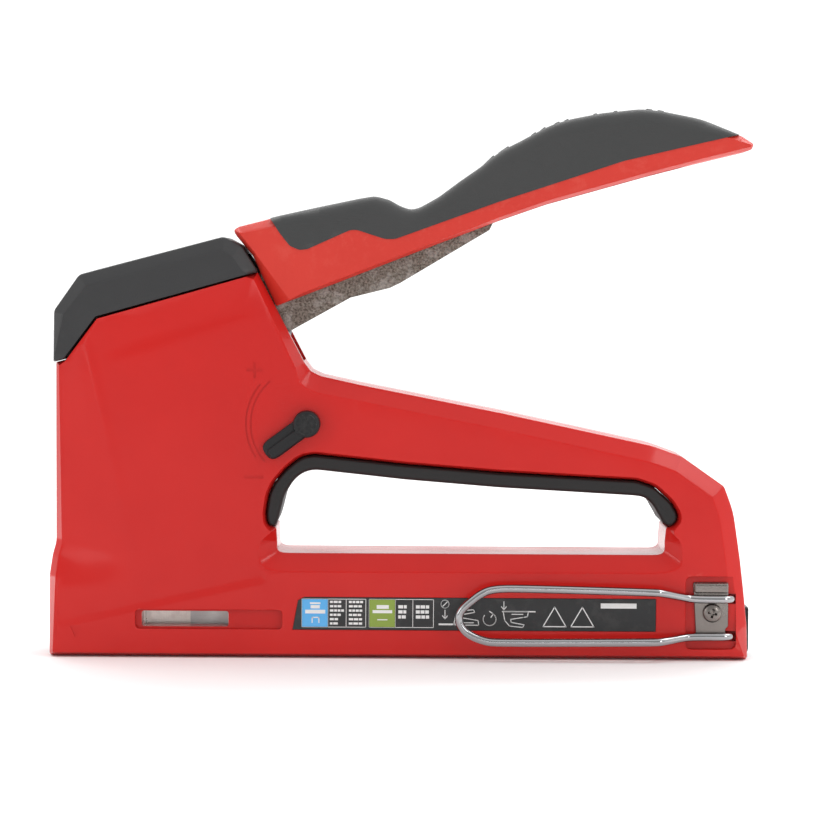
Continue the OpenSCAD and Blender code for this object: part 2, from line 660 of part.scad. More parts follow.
module plunger() {
    slot = roller_r + slide_gap + 0.05;
    bore_r = spring_od / 2 + 0.4;
    color("gray") difference() {
        union() {
            mid_box(nx(plunger_front), nx(plunger_back), plunger_w / 2, plunger_low, plunger_top);
            mid_box(nx(plunger_back - 1.4), nx(plunger_back), lever_gap_w / 2 - 0.6, plunger_low, roller_z + slot + 3);
            mid_box(nx(plunger_back - 0.1), roller_x + 3, lever_gap_w / 2 - 0.6, roller_z + slot, roller_z + slot + 3);
            mid_box(nx(plunger_back - 0.1), roller_x + 3, lever_gap_w / 2 - 0.6, roller_z - slot - 3, roller_z - slot);
        }
        translate([nx(plunger_mid), 0, spring_low]) cylinder(r = bore_r, h = 60);
        bar_y(nx(plunger_front + 1.5), plunger_low + 4, 1.2, -plunger_w, plunger_w);
    }
}

module blade_pin() {
    color("silver") bar_y(nx(plunger_front + 1.5), plunger_low + 4, 1.2, -plunger_w / 2, plunger_w / 2);
}

module driver_blade() {
    color("lightgray") mid_box(nx(blade_front), nx(blade_front + blade_t), blade_w / 2, 0.5, plunger_low + 10);
}

module power_spring() {
    color("steelblue") translate([nx(plunger_mid), 0, spring_low])
        coil(spring_od / 2 - spring_wire / 2, spring_wire / 2, seat_z - spring_low, 9);
}

// ---- knob ----

module power_knob() {
    y = -half_w - 0.2;
    arm_a = 36.5;
    color([0.15, 0.15, 0.15]) difference() {
        union() {
            bar_y(knob_x, knob_z, knob_r, y - 4, y);
            translate([knob_x, 0, knob_z]) rotate([0, -arm_a, 0]) translate([-knob_x, 0, -knob_z])
                slab(y - 2.8, y) round_rect([knob_x - 15, knob_z - 2.1, knob_x, knob_z + 2.1], 2);
        }
        bar_y(knob_x, knob_z, knob_shaft_r, y - 2.4, y + 1);
    }
}

// shaft through the shell, with the cam that sets the power inside
module knob_shaft() {
    color("silver") {
        bar_y(knob_x, knob_z, knob_shaft_r, -half_w - 2.5, -1.6);
        bar_y(knob_x - 0.9, knob_z + 0.6, 4, -7.2, -3.4);
    }
}

module knob_ring() {
    color("dimgray") difference() {
        bar_y(knob_x, knob_z, 3.6, -inner_w + 0.85, -inner_w + 1.65);
        bar_y(knob_x, knob_z, knob_shaft_r, -half_w, 0);
    }
}

// leaf that presses on the cam so that the knob stays where it is set
module knob_detent() {
    color("silver") box(knob_x - 7, knob_x + 6, -7, -3.6, knob_z + 5.4, knob_z + 5.9);
}

// ---- belt hook ----

module belt_hook() {
    r = hook_wire / 2;
    up = clip_screw[1] + leg_up;
    low = clip_screw[1] - leg_down;
    y_clip = -half_w - r + 0.55;
    y_tuck = -half_w + 3.1;
    x0 = rx(17.7);
    x1 = x0 - 8.5;
    x2 = x0 - hook_l;
    color("silver") wire(eased([
        [rx(9), y_tuck, up], [rx(5.4), y_tuck, up], [rx(5.4), y_clip, up], [x0, y_clip, up],
        [x1, -hook_y, up + 2.4], [x2 + 9, -hook_y, up + 3.4], [x2 + 2, -hook_y, up - 0.6], [x2, -hook_y, up - 3.4],
        [x2, -hook_y, low + 3.6], [x2 + 2, -hook_y, low + 0.6], [x2 + 9, -hook_y, low - 1.4],
        [x1, -hook_y, low - 0.9], [x0, y_clip, low], [rx(5.4), y_clip, low], [rx(5.4), y_tuck, low],
        [rx(9), y_tuck, low]
    ], 1.1), r);
}

// sheet-steel plate that holds the hook's ends against the housing
module hook_clip() {
    z0 = clip_screw[1] - 8.4;
    z1 = clip_screw[1] + 9.1;
    color("silver") difference() {
        slab(-half_w + 0.6, -half_w + 1.5) polygon([
            [rx(15.6), z0], [rx(7), z0], [rx(7), z0 + 3.6], [rx(6.2), z0 + 4.4], [rx(6.2), z1], [rx(16.7), z1]
        ]);
        bar_y(clip_screw[0], clip_screw[1], screw_r + 0.1, -half_w - 1, 0);
    }
}

module hook_screw() {
    color("silver") difference() {
        union() {
            bar_y(clip_screw[0], clip_screw[1], 2.8, -half_w - 1.3, -half_w + 0.6);
            bar_y(clip_screw[0], clip_screw[1], screw_r, -half_w, -half_w + 6.4);
        }
        for (a = [0, 90]) translate([clip_screw[0], -half_w - 1.3, clip_screw[1]]) rotate([0, a, 0])
            cube([3.4, 2.2, 0.8], center = true);
    }
}

module hook_nut() {
    color("gray") difference() {
        slab(-half_w + 3.1, -half_w + 5.5) translate(clip_screw) square(5.8, center = true);
        bar_y(clip_screw[0], clip_screw[1], screw_r, -half_w, 0);
    }
}

// ---- magazine ----

module magazine_rail() {
    color("silver") difference() {
        mid_box(nx(plunger_front + 0.35), rx(2.5), rail_out, 1.35, rail_top);
        mid_box(nx(plunger_front), rear_x, rail_in, 0, rail_top - rail_t);
        mid_box(nx(pusher_front + 1), rx(8), 1.2, rail_top - rail_t - 1, rail_top + 1);
        bar_y(rx(30), 3.6, 1, -half_w, half_w);
    }
}

module magazine_end() {
    color([0.15, 0.15, 0.15]) difference() {
        union() {
            mid_box(rx(end_l), rx(0.2), rail_in - 0.1, end_low, rail_top - rail_t - 0.1);
            mid_box(rx(1.2), rx(-0.6), end_half, 1.6, 15.2);
        }
        translate([rx(end_l + 1), 0, rod_z]) rotate([0, 90, 0]) cylinder(r = rod_r, h = end_l - 2);
        mid_box(rx(end_l + 1), rx(-2), 2.6, 0, end_low);
    }
}

module guide_rod() {
    color("silver") translate([nx(plunger_front + 6), 0, rod_z]) rotate([0, 90, 0])
        cylinder(r = rod_r, h = tool_l - plunger_front - 9.5);
}

module staple_stick() {
    o = crown_w / 2;
    x0 = nx(plunger_front + 0.45);
    color("whitesmoke") difference() {
        mid_box(x0, x0 + stick_l, o, leg_bottom, crown_top);
        mid_box(x0 - 1, x0 + stick_l + 1, o - staple_wire, leg_bottom - 1, crown_top - staple_wire);
    }
}

module pusher() {
    o = crown_w / 2 + 0.1;
    x0 = nx(pusher_front);
    color("gainsboro") difference() {
        union() {
            difference() {
                mid_box(x0, x0 + pusher_l, o, 6.4, crown_top + 0.1);
                mid_box(x0 - 1, x0 + pusher_l + 1, rail_out + 0.1, 0, rail_top + 0.1);
            }
            mid_box(x0 + 2, x0 + pusher_l - 2, 0.85, rod_z + 2, rail_top + 0.4);
            mid_box(x0 + 2, x0 + pusher_l - 2, rail_in - 0.35, 6.5, rail_top - rail_t - 0.35);
        }
        translate([x0 - 1, 0, rod_z]) rotate([0, 90, 0]) cylinder(r = rod_r + 0.25, h = pusher_l + 2);
    }
}

module pusher_spring() {
    x0 = nx(pusher_front + pusher_l - 1.8);
    color("steelblue") translate([x0, 0, rod_z]) rotate([0, 90, 0]) difference() {
        cylinder(r = 2.5, h = rx(end_l + 0.1) - x0);
        translate([0, 0, -1]) cylinder(r = 1.8, h = tool_l);
    }
}

// one-armed catch under the rear end, with its hook in the track's floor
module magazine_latch() {
    half = rail_in - 1.25;
    color([0.3, 0.3, 0.3]) difference() {
        union() {
            mid_box(rx(30), rx(2.4), half, 2.6, latch_top);
            bar_y(rx(30), 3.6, 1.9, -half, half);
            mid_box(rx(19.6), rx(17.4), half, 0.3, 3);
            mid_box(rx(12.8), rx(2.4), rail_in - slide_gap, 0.15, 2.7);
        }
        bar_y(rx(30), 3.6, 1 + run_gap, -half_w, half_w);
    }
}

module latch_pin() {
    color("silver") bar_y(rx(30), 3.6, 1, -rail_out, rail_out);
}

module latch_spring() {
    color("steelblue") translate([rx(12), 0, latch_top]) difference() {
        cylinder(r = 1.4, h = end_low - latch_top - 0.05);
        translate([0, 0, -1]) cylinder(r = 0.9, h = 5);
    }
}

left_housing();
right_housing();
top_cap();
grip_insert();
housing_screws();
left_label();
right_label();
nose_plate();
guide_block();
plunger_bumper();
spring_seat();
magazine_track();
pivot_pin();
pivot_rings();
belt_hook();
hook_clip();
hook_screw();
hook_nut();
knob_detent();
plunger();
driver_blade();
blade_pin();
power_spring();
lever_arm();
lever_cover();
lever_grip();
cover_screws();
lever_roller();
roller_pin();
lever_bush();
return_spring();
power_knob();
knob_shaft();
knob_ring();
magazine_rail();
magazine_end();
guide_rod();
staple_stick();
pusher();
pusher_spring();
magazine_latch();
latch_pin();
latch_spring();
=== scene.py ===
# Looks of a hand staple gun: a red two-shell housing with a black cap, a sprung squeeze lever
# with a soft grip, a pull-out magazine, a power knob and a chrome belt hook.
import json
import math
import random

import bmesh
import bpy
import numpy as np
from mathutils import Matrix, Quaternion, Vector
from mathutils.geometry import delaunay_2d_cdt


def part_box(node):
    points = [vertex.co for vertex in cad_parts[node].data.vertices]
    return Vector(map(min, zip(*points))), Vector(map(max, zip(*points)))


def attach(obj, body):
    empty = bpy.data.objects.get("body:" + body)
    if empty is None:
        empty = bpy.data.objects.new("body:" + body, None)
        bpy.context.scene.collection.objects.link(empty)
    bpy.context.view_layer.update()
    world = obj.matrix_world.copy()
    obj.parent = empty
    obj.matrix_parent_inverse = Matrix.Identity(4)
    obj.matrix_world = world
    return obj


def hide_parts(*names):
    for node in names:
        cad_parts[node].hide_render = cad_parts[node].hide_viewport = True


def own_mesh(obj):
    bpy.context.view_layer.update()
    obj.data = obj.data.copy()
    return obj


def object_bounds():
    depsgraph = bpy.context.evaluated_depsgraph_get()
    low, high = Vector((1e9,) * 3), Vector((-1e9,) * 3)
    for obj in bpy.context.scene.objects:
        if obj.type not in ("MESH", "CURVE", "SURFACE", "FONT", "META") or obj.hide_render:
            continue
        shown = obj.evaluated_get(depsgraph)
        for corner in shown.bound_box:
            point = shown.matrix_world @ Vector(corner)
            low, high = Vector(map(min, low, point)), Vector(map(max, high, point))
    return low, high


mm = 0.001
random.seed(7)

# the camera stands in front of the knob's side, a little above the tool

camera = {"aim": (2.95, 0, 73), "distance": 850, "elevation": 2.8, "roll": 0.35, "lens": 124.4}


def makeCamera(c):
    data = bpy.data.cameras.new("camera")
    data.lens = c["lens"]
    data.clip_start, data.clip_end = 0.01, 50
    eye = bpy.data.objects.new("camera", data)
    bpy.context.scene.collection.objects.link(eye)
    tilt = math.radians(c["elevation"])
    back = Vector((0, -math.cos(tilt), math.sin(tilt)))
    eye.location = (Vector(c["aim"]) + back * c["distance"]) * mm
    turn = (-back).to_track_quat("-Z", "Y") @ Quaternion((0, 0, 1), math.radians(c["roll"]))
    eye.rotation_euler = turn.to_euler()
    bpy.context.scene.camera = eye


makeCamera(camera)
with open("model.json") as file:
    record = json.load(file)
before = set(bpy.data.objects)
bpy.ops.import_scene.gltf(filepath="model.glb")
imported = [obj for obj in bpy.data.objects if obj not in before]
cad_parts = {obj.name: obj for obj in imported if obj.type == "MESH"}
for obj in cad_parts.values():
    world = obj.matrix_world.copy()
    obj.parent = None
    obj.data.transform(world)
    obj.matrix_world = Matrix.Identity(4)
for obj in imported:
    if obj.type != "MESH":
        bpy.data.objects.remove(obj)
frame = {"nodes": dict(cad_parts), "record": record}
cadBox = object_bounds()
nodeBody = {n: b for b, ns in frame["record"]["behaviour"]["bodies"].items() for n in ns}
print("frame loaded:", len(frame["nodes"]), "nodes")


def sizes(node):
    low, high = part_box(node)
    return low / mm, high / mm


def middle(node):
    low, high = sizes(node)
    return (low + high) / 2


shellLow, shellHigh = sizes("left_housing")
noseX, rearX, sideY = shellLow.x, shellHigh.x, -shellLow.y
headZ = sizes("top_cap")[1].z - 10.5
pivot = middle("pivot_pin")


def nx(d):
    return noseX + d


def rx(d):
    return rearX - d


def hz(d):
    return headZ + d


# mesh helpers; all of them take millimetres

def addObject(name, mesh):
    piece = bpy.data.objects.new(name, mesh)
    bpy.context.scene.collection.objects.link(piece)
    return piece


def fromBmesh(name, bm, weldAt=0.0):
    if weldAt:
        bmesh.ops.remove_doubles(bm, verts=bm.verts, dist=weldAt)
    bmesh.ops.recalc_face_normals(bm, faces=bm.faces)
    bmesh.ops.scale(bm, vec=(mm, mm, mm), verts=bm.verts)
    mesh = bpy.data.meshes.new(name)
    bm.to_mesh(mesh)
    bm.free()
    return addObject(name, mesh)


def bake(piece):
    graph = bpy.context.evaluated_depsgraph_get()
    made = bpy.data.meshes.new_from_object(piece.evaluated_get(graph), depsgraph=graph)
    piece.modifiers.clear()
    old, piece.data = piece.data, made
    bpy.data.meshes.remove(old)
    made.name = piece.name


def carve(piece, cutter, how="DIFFERENCE"):
    m = piece.modifiers.new("cut", "BOOLEAN")
    m.operation, m.solver, m.object = how, "EXACT", cutter
    bake(piece)
    bpy.data.objects.remove(cutter)
    return piece


def shade(piece, angle=32):
    piece.data.shade_smooth()
    piece.data.set_sharp_from_angle(angle=math.radians(angle))
    m = piece.modifiers.new("normals", "WEIGHTED_NORMAL")
    m.keep_sharp, m.weight = True, 60
    bake(piece)
    return piece


def leftOf(a, b):
    return Vector((a[1] - b[1], b[0] - a[0])).normalized()


def ring(corners, k=0.0, grow=0.0, steps=4):
    # corners are (x, z, edge width, corner radius); k moves each corner in by its edge width,
    # or by the whole move that a fifth value gives
    n = len(corners)
    shifted = []
    for i, p in enumerate(corners):
        if len(p) > 4:
            shifted.append(Vector(p[:2]) + k * Vector(p[4]))
            continue
        m = leftOf(corners[i - 1], p) + leftOf(p, corners[(i + 1) % n])
        shifted.append(Vector(p[:2]) + m * (2 * (p[2] * k - grow) / max(0.7, m.dot(m))))
    loop = []
    for i, p in enumerate(shifted):
        back, ahead = shifted[i - 1] - p, shifted[(i + 1) % n] - p
        inset = corners[i][2] * k - grow
        r = corners[i][3] + (inset if back.cross(ahead) > 0 else -inset)
        reach = max(0.12, max(r, 0.25) * math.tan((-back).angle(ahead) / 2))
        near = p + back.normalized() * min(reach, 0.45 * back.length)
        far = p + ahead.normalized() * min(reach, 0.45 * ahead.length)
        for s in range(steps + 1):
            t = s / steps
            loop.append((1 - t) ** 2 * near + 2 * t * (1 - t) * p + t * t * far)
    return loop


def addBand(bm, rings, close=False):
    rows = [[bm.verts.new(p) for p in r] for r in rings]
    for a, b in zip(rows, rows[1:]):
        n = len(a)
        for i in range(n):
            j = (i + 1) % n
            bm.faces.new((a[i], a[j], b[j], b[i]))
    if close:
        bm.faces.new(rows[0])
        bm.faces.new(rows[-1])


def skin(name, rings):
    bm = bmesh.new()
    addBand(bm, rings, close=True)
    return fromBmesh(name, bm)


def flatRing(loop, y):
    return [(p.x, y, p.y) for p in loop]


def rounded(halfWidth, depth, steps=5):
    # (y, k) pairs of an edge rounded over depth, from the flat side inwards
    return [(halfWidth - depth * (1 - math.sin(a)), 1 - math.cos(a))
            for a in (math.pi / 2 * (steps - s) / steps for s in range(steps + 1))]


def bothSides(corners, profile, grow=0.0, ringSteps=4):
    rows = [(-y, k) for y, k in profile] + [(y, k) for y, k in reversed(profile)]
    return [flatRing(ring(corners, k, grow, ringSteps), y) for y, k in rows]


def prism(name, points, y0, y1, flare=0.0, lip=0.25):
    # a cutter; with flare its y0 end opens out, which leaves a small chamfer on the edge it cuts
    corners = [(p[0], p[1], 1, p[2] if len(p) > 2 else 0.0) for p in points]
    way = 1 if y1 > y0 else -1
    rows = [(y0, -flare), (y0 + way * lip, -flare), (y0 + way * (lip + flare), 0), (y1, 0)] if flare else [
        (y0, 0), (y1, 0)]
    loops = [(y, ring(corners, k, 0, 3)) if any(c[3] for c in corners) else (y, sharpRing(corners, k))
             for y, k in rows]
    return skin(name, [flatRing(loop, y) for y, loop in loops])


def sharpRing(corners, k):
    n = len(corners)
    loop = []
    for i, p in enumerate(corners):
        m = leftOf(corners[i - 1], p) + leftOf(p, corners[(i + 1) % n])
        loop.append(Vector(p[:2]) + m * (2 * k / max(0.7, m.dot(m))))
    return loop


def rectangle(x0, z0, x1, z1, r=0.0):
    return [(x0, z0, r), (x1, z0, r), (x1, z1, r), (x0, z1, r)]


def lathe(name, profile, centre, axis="y", sides=40):
    # profile is (radius, place along the axis); a radius of 0 closes the end
    bm = bmesh.new()
    rows = []
    for r, t in profile:
        row = []
        for s in range(sides if r else 1):
            a = 2 * math.pi * s / sides
            u, v = r * math.cos(a), r * math.sin(a)
            p = {"y": (u, t, v), "z": (u, v, t), "x": (t, u, v)}[axis]
            row.append(bm.verts.new(Vector(p) + Vector(centre)))
        rows.append(row)
    for a, b in zip(rows, rows[1:]):
        for s in range(sides):
            q = (s + 1) % sides
            face = [a[s % len(a)], a[q % len(a)], b[q % len(b)], b[s % len(b)]]
            bm.faces.new(list(dict.fromkeys(face)))
    return fromBmesh(name, bm)


def addTube(bm, path, radius, sides):
    path = [Vector(p) for p in path]
    normal = Vector((0.1, 0.2, 1))
    rows = []
    for i, p in enumerate(path):
        t = (path[min(i + 1, len(path) - 1)] - path[max(i - 1, 0)]).normalized()
        normal = (normal - t * normal.dot(t)).normalized()
        side = t.cross(normal)
        rows.append([bm.verts.new(p + radius * (math.cos(a) * normal + math.sin(a) * side))
                     for a in (2 * math.pi * s / sides for s in range(sides))])
    for a, b in zip(rows, rows[1:]):
        for s in range(sides):
            bm.faces.new((a[s], a[(s + 1) % sides], b[(s + 1) % sides], b[s]))
    bm.faces.new(rows[0])
    bm.faces.new(rows[-1])


def tube(name, path, radius, sides=16):
    bm = bmesh.new()
    addTube(bm, path, radius, sides)
    return fromBmesh(name, bm)


def coilPath(radius, wire, length, turns, flatEnds=0.8, perTurn=24):
    # ends lie flat for part of a turn, as on a ground spring
    n = int(turns * perTurn)
    points = []
    for i in range(n + 1):
        t = i / perTurn
        lift = min(max((t - flatEnds) / (turns - 2 * flatEnds), 0), 1)
        closed = wire * (min(t, flatEnds) + max(t - turns + flatEnds, 0))
        a = 2 * math.pi * t
        points.append((radius * math.cos(a), radius * math.sin(a),
                       wire / 2 + closed + lift * (length - wire - 2 * wire * flatEnds)))
    return points


def joined(name, pieces):
    # several meshes as one piece
    bm = bmesh.new()
    for piece in pieces:
        bm.from_mesh(piece.data)
        bpy.data.objects.remove(piece)
    mesh = bpy.data.meshes.new(name)
    bm.to_mesh(mesh)
    bm.free()
    return addObject(name, mesh)


def mirrored(piece):
    # the same piece on the other side of the tool
    piece.data.transform(Matrix.Scale(-1, 4, (0, 1, 0)))
    piece.data.flip_normals()
    return piece


def inside(x, z, loop):
    hit = False
    for a, b in zip(loop, loop[1:] + loop[:1]):
        if (a.y > z) != (b.y > z) and x < (b.x - a.x) * (z - a.y) / (b.y - a.y) + a.x:
            hit = not hit
    return hit


def addSheet(bm, border, hole, heightAt, spacings=()):
    # a face with a hole, filled with small triangles whose y comes from heightAt
    points, edges = [], []
    for loop in (border, hole):
        first, n = len(points), len(loop)
        points += [p.copy() for p in loop]
        edges += [(first + i, first + (i + 1) % n) for i in range(n)]
    a = np.array([(points[i].x, points[i].y) for i, j in edges])
    d = np.array([(points[j].x, points[j].y) for i, j in edges]) - a
    for x0, x1, step in spacings:
        for row in range(int(headZ / step) + 1):
            for column in range(int((x1 - x0) / step)):
                x, z = x0 + (column + 0.5 * (row % 2)) * step, row * step * 0.9
                if not inside(x, z, border) or inside(x, z, hole):
                    continue
                p = np.array((x, z)) - a
                t = np.clip((p * d).sum(1) / (d * d).sum(1), 0, 1)
                if np.hypot(*(p - t[:, None] * d).T).min() > 0.45 * step:
                    points.append(Vector((x, z)))
    flat, _, faces, *_ = delaunay_2d_cdt(points, edges, [], 0, 1e-6)
    verts = [bm.verts.new((p.x, heightAt(p.x, p.y), p.y)) for p in flat]
    for f in faces:
        c = sum((flat[i] for i in f), Vector((0, 0))) / 3
        if inside(c.x, c.y, border) and not inside(c.x, c.y, hole):
            bm.faces.new([verts[i] for i in f])


def place(piece, nodes, slotName, material, body=None):
    nodes = [nodes] if isinstance(nodes, str) else nodes
    piece.data.materials.append(material)
    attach(piece, body or nodeBody[nodes[0]])
    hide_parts(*nodes)
    return piece


# finishes

def newGroup(name, ins, outs):
    # ins and outs are (name, kind, starting value)
    group = bpy.data.node_groups.new(name, "ShaderNodeTree")
    for label, kind, value in ins:
        s = group.interface.new_socket(label, in_out="INPUT", socket_type="NodeSocket" + kind)
        s.default_value = value
    for label, kind in outs:
        group.interface.new_socket(label, in_out="OUTPUT", socket_type="NodeSocket" + kind)
    return group, group.nodes.new("NodeGroupInput"), group.nodes.new("NodeGroupOutput")


def addNode(tree, kind, **settings):
    node = tree.nodes.new("ShaderNode" + kind)
    for k, v in settings.items():
        if k == "inputs":
            for name, value in v.items():
                node.inputs[name].default_value = value
        else:
            setattr(node, k, v)
    return node


def maths(tree, what, a, b=None, clamp=False):
    node = addNode(tree, "Math", operation=what, use_clamp=clamp)
    for i, v in enumerate((a, b)):
        if v is None:
            continue
        if isinstance(v, (int, float)):
            node.inputs[i].default_value = v
        else:
            tree.links.new(v, node.inputs[i])
    return node.outputs[0]


def stretchedNoise(tree, place, scale, stretch, detail, rough):
    grow = addNode(tree, "VectorMath", operation="MULTIPLY")
    tree.links.new(place, grow.inputs[0])
    tree.links.new(stretch, grow.inputs[1])
    noise = addNode(tree, "TexNoise", inputs={"Detail": detail, "Roughness": rough})
    tree.links.new(grow.outputs[0], noise.inputs["Vector"])
    tree.links.new(scale, noise.inputs["Scale"])
    return noise.outputs["Fac"]


def ownNoise(group, given, detail, rough):
    # the object's own coordinates, and a noise in them whose scale comes from outside
    place = addNode(group, "TexCoord").outputs["Object"]
    noise = addNode(group, "TexNoise", inputs={"Detail": detail, "Roughness": rough})
    group.links.new(place, noise.inputs["Vector"])
    group.links.new(given.outputs["Scale"], noise.inputs["Scale"])
    return noise.outputs["Fac"]


def makeGrain():
    # fine surface grain: a height for bump and a speckle mask
    group, given, out = newGroup("surfaceGrain", [
        ("Scale", "Float", 900.0), ("Stretch", "Vector", (1, 1, 1)), ("Coarse", "Float", 0.4)],
        [("Height", "Float"), ("Speck", "Float")])
    place = addNode(group, "TexCoord").outputs["Object"]
    fine = stretchedNoise(group, place, given.outputs["Scale"], given.outputs["Stretch"], 3, 0.6)
    wide = stretchedNoise(group, place, maths(group, "MULTIPLY", given.outputs["Scale"], 0.22),
                          given.outputs["Stretch"], 2, 0.5)
    mixed = maths(group, "ADD", fine, maths(group, "MULTIPLY", wide, given.outputs["Coarse"]))
    group.links.new(mixed, out.inputs["Height"])
    speck = maths(group, "MULTIPLY", maths(group, "SUBTRACT", fine, 0.5), 4)
    group.links.new(maths(group, "ADD", speck, 0.5, True), out.inputs["Speck"])
    return group


def makeTone():
    # slow drift between two shades of one colour
    group, given, out = newGroup("toneDrift", [
        ("Color", "Color", (1, 1, 1, 1)), ("Second", "Color", (1, 1, 1, 1)),
        ("Scale", "Float", 30.0), ("Amount", "Float", 0.5)], [("Color", "Color"), ("Drift", "Float")])
    noise = ownNoise(group, given, 4, 0.55)
    strong = maths(group, "MULTIPLY", maths(group, "SUBTRACT", noise, 0.35), 3, True)
    mix = addNode(group, "MixRGB")
    group.links.new(maths(group, "MULTIPLY", strong, given.outputs["Amount"]), mix.inputs[0])
    group.links.new(given.outputs["Color"], mix.inputs[1])
    group.links.new(given.outputs["Second"], mix.inputs[2])
    group.links.new(mix.outputs[0], out.inputs["Color"])
    group.links.new(strong, out.inputs["Drift"])
    return group


def makeWear():
    # rubbed edges: a mask where the surface turns sharply outwards, broken up by noise
    group, given, out = newGroup("edgeWear", [
        ("Amount", "Float", 0.5), ("Start", "Float", 0.53), ("Scale", "Float", 220.0)], [("Mask", "Float")])
    point = addNode(group, "NewGeometry").outputs["Pointiness"]
    noise = ownNoise(group, given, 5, 0.7)
    edge = maths(group, "MULTIPLY", maths(group, "SUBTRACT", point, given.outputs["Start"]), 12, True)
    patch = maths(group, "MULTIPLY", maths(group, "SUBTRACT", noise, 0.5), 8, True)
    mask = maths(group, "MULTIPLY", maths(group, "MULTIPLY", edge, patch), given.outputs["Amount"], True)
    group.links.new(mask, out.inputs["Mask"])
    return group


def makeScuffs():
    # thin straight scratches in two directions
    group, given, out = newGroup("lightScuffs", [
        ("Scale", "Float", 60.0), ("Amount", "Float", 0.3)], [("Mask", "Float")])
    place = addNode(group, "TexCoord").outputs["Object"]
    lines = []
    for turn, stretch in ((0.5, (2, 2, 40)), (-0.9, (3, 3, 55))):
        rotate = addNode(group, "Mapping")
        rotate.inputs["Rotation"].default_value = (0, turn, 0)
        rotate.inputs["Scale"].default_value = stretch
        group.links.new(place, rotate.inputs["Vector"])
        noise = addNode(group, "TexNoise", inputs={"Detail": 2, "Roughness": 0.5})
        group.links.new(rotate.outputs[0], noise.inputs["Vector"])
        group.links.new(given.outputs["Scale"], noise.inputs["Scale"])
        near = maths(group, "ABSOLUTE", maths(group, "SUBTRACT", noise.outputs["Fac"], 0.5))
        lines.append(maths(group, "SUBTRACT", 1, maths(group, "MULTIPLY", near, 45), True))
    area = addNode(group, "TexNoise", inputs={"Scale": 45.0, "Detail": 3})
    group.links.new(place, area.inputs["Vector"])
    where = maths(group, "MULTIPLY", maths(group, "SUBTRACT", area.outputs["Fac"], 0.54), 9, True)
    both = maths(group, "MAXIMUM", *lines)
    mask = maths(group, "MULTIPLY", maths(group, "MULTIPLY", both, where), given.outputs["Amount"], True)
    group.links.new(mask, out.inputs["Mask"])
    return group


grain, tone, wear, scuffs = makeGrain(), makeTone(), makeWear(), makeScuffs()

# color and second are the two shades, rough is (smooth, dull), bump is the grain's depth
usualFinish = {
    "second": None, "toneScale": 40, "drift": 0.6, "metal": 0, "rough": (0.3, 0.45), "grainScale": 1400,
    "stretch": (1, 1, 1), "coarse": 0.4, "bump": 0.1, "speck": 0.0, "wear": 0.35, "wearStart": 0.54,
    "wearColor": (0.55, 0.5, 0.48), "scuff": 0.25, "coat": 0, "coatRough": 0.1, "sheen": 0, "specular": 0.5,
    "speckColor": (0, 0, 0)}


def finish(name, **given):
    f = {**usualFinish, **given}
    material = bpy.data.materials.new(name)
    material.use_nodes = True
    tree = material.node_tree
    surface = tree.nodes["Principled BSDF"]

    def place(group, **values):
        node = addNode(tree, "Group", node_tree=group)
        for k, v in values.items():
            node.inputs[k].default_value = v
        return node

    def mix(amount, a, b):
        node = addNode(tree, "MixRGB")
        tree.links.new(amount, node.inputs[0])
        tree.links.new(a, node.inputs[1])
        node.inputs[2].default_value = (*b, 1)
        return node.outputs[0]

    shades = place(tone, Color=(*f["color"], 1), Second=(*(f["second"] or f["color"]), 1),
                   Scale=f["toneScale"], Amount=f["drift"])
    fine = place(grain, Scale=f["grainScale"], Stretch=f["stretch"], Coarse=f["coarse"])
    worn = place(wear, Amount=f["wear"], Start=f["wearStart"])
    marks = place(scuffs, Amount=f["scuff"])
    color = shades.outputs["Color"]
    if f["speck"]:
        color = mix(maths(tree, "MULTIPLY", fine.outputs["Speck"], f["speck"]), color, f["speckColor"])
    color = mix(worn.outputs["Mask"], color, f["wearColor"])
    tree.links.new(color, surface.inputs["Base Color"])
    low, high = f["rough"]
    rough = maths(tree, "ADD", maths(tree, "MULTIPLY", shades.outputs["Drift"], high - low), low)
    rough = maths(tree, "ADD", rough, maths(tree, "MULTIPLY", marks.outputs["Mask"], 0.35))
    rough = maths(tree, "ADD", rough, maths(tree, "MULTIPLY", worn.outputs["Mask"], 0.2), True)
    tree.links.new(rough, surface.inputs["Roughness"])
    bump = addNode(tree, "Bump", inputs={"Strength": f["bump"], "Distance": 0.0004})
    scratched = maths(tree, "MULTIPLY", marks.outputs["Mask"], 0.15)
    height = maths(tree, "SUBTRACT", fine.outputs["Height"], scratched)
    tree.links.new(height, bump.inputs["Height"])
    tree.links.new(bump.outputs[0], surface.inputs["Normal"])
    surface.inputs["Metallic"].default_value = f["metal"]
    surface.inputs["Coat Weight"].default_value = f["coat"]
    surface.inputs["Coat Roughness"].default_value = f["coatRough"]
    surface.inputs["Sheen Weight"].default_value = f["sheen"]
    surface.inputs["Specular IOR Level"].default_value = f["specular"]
    return material


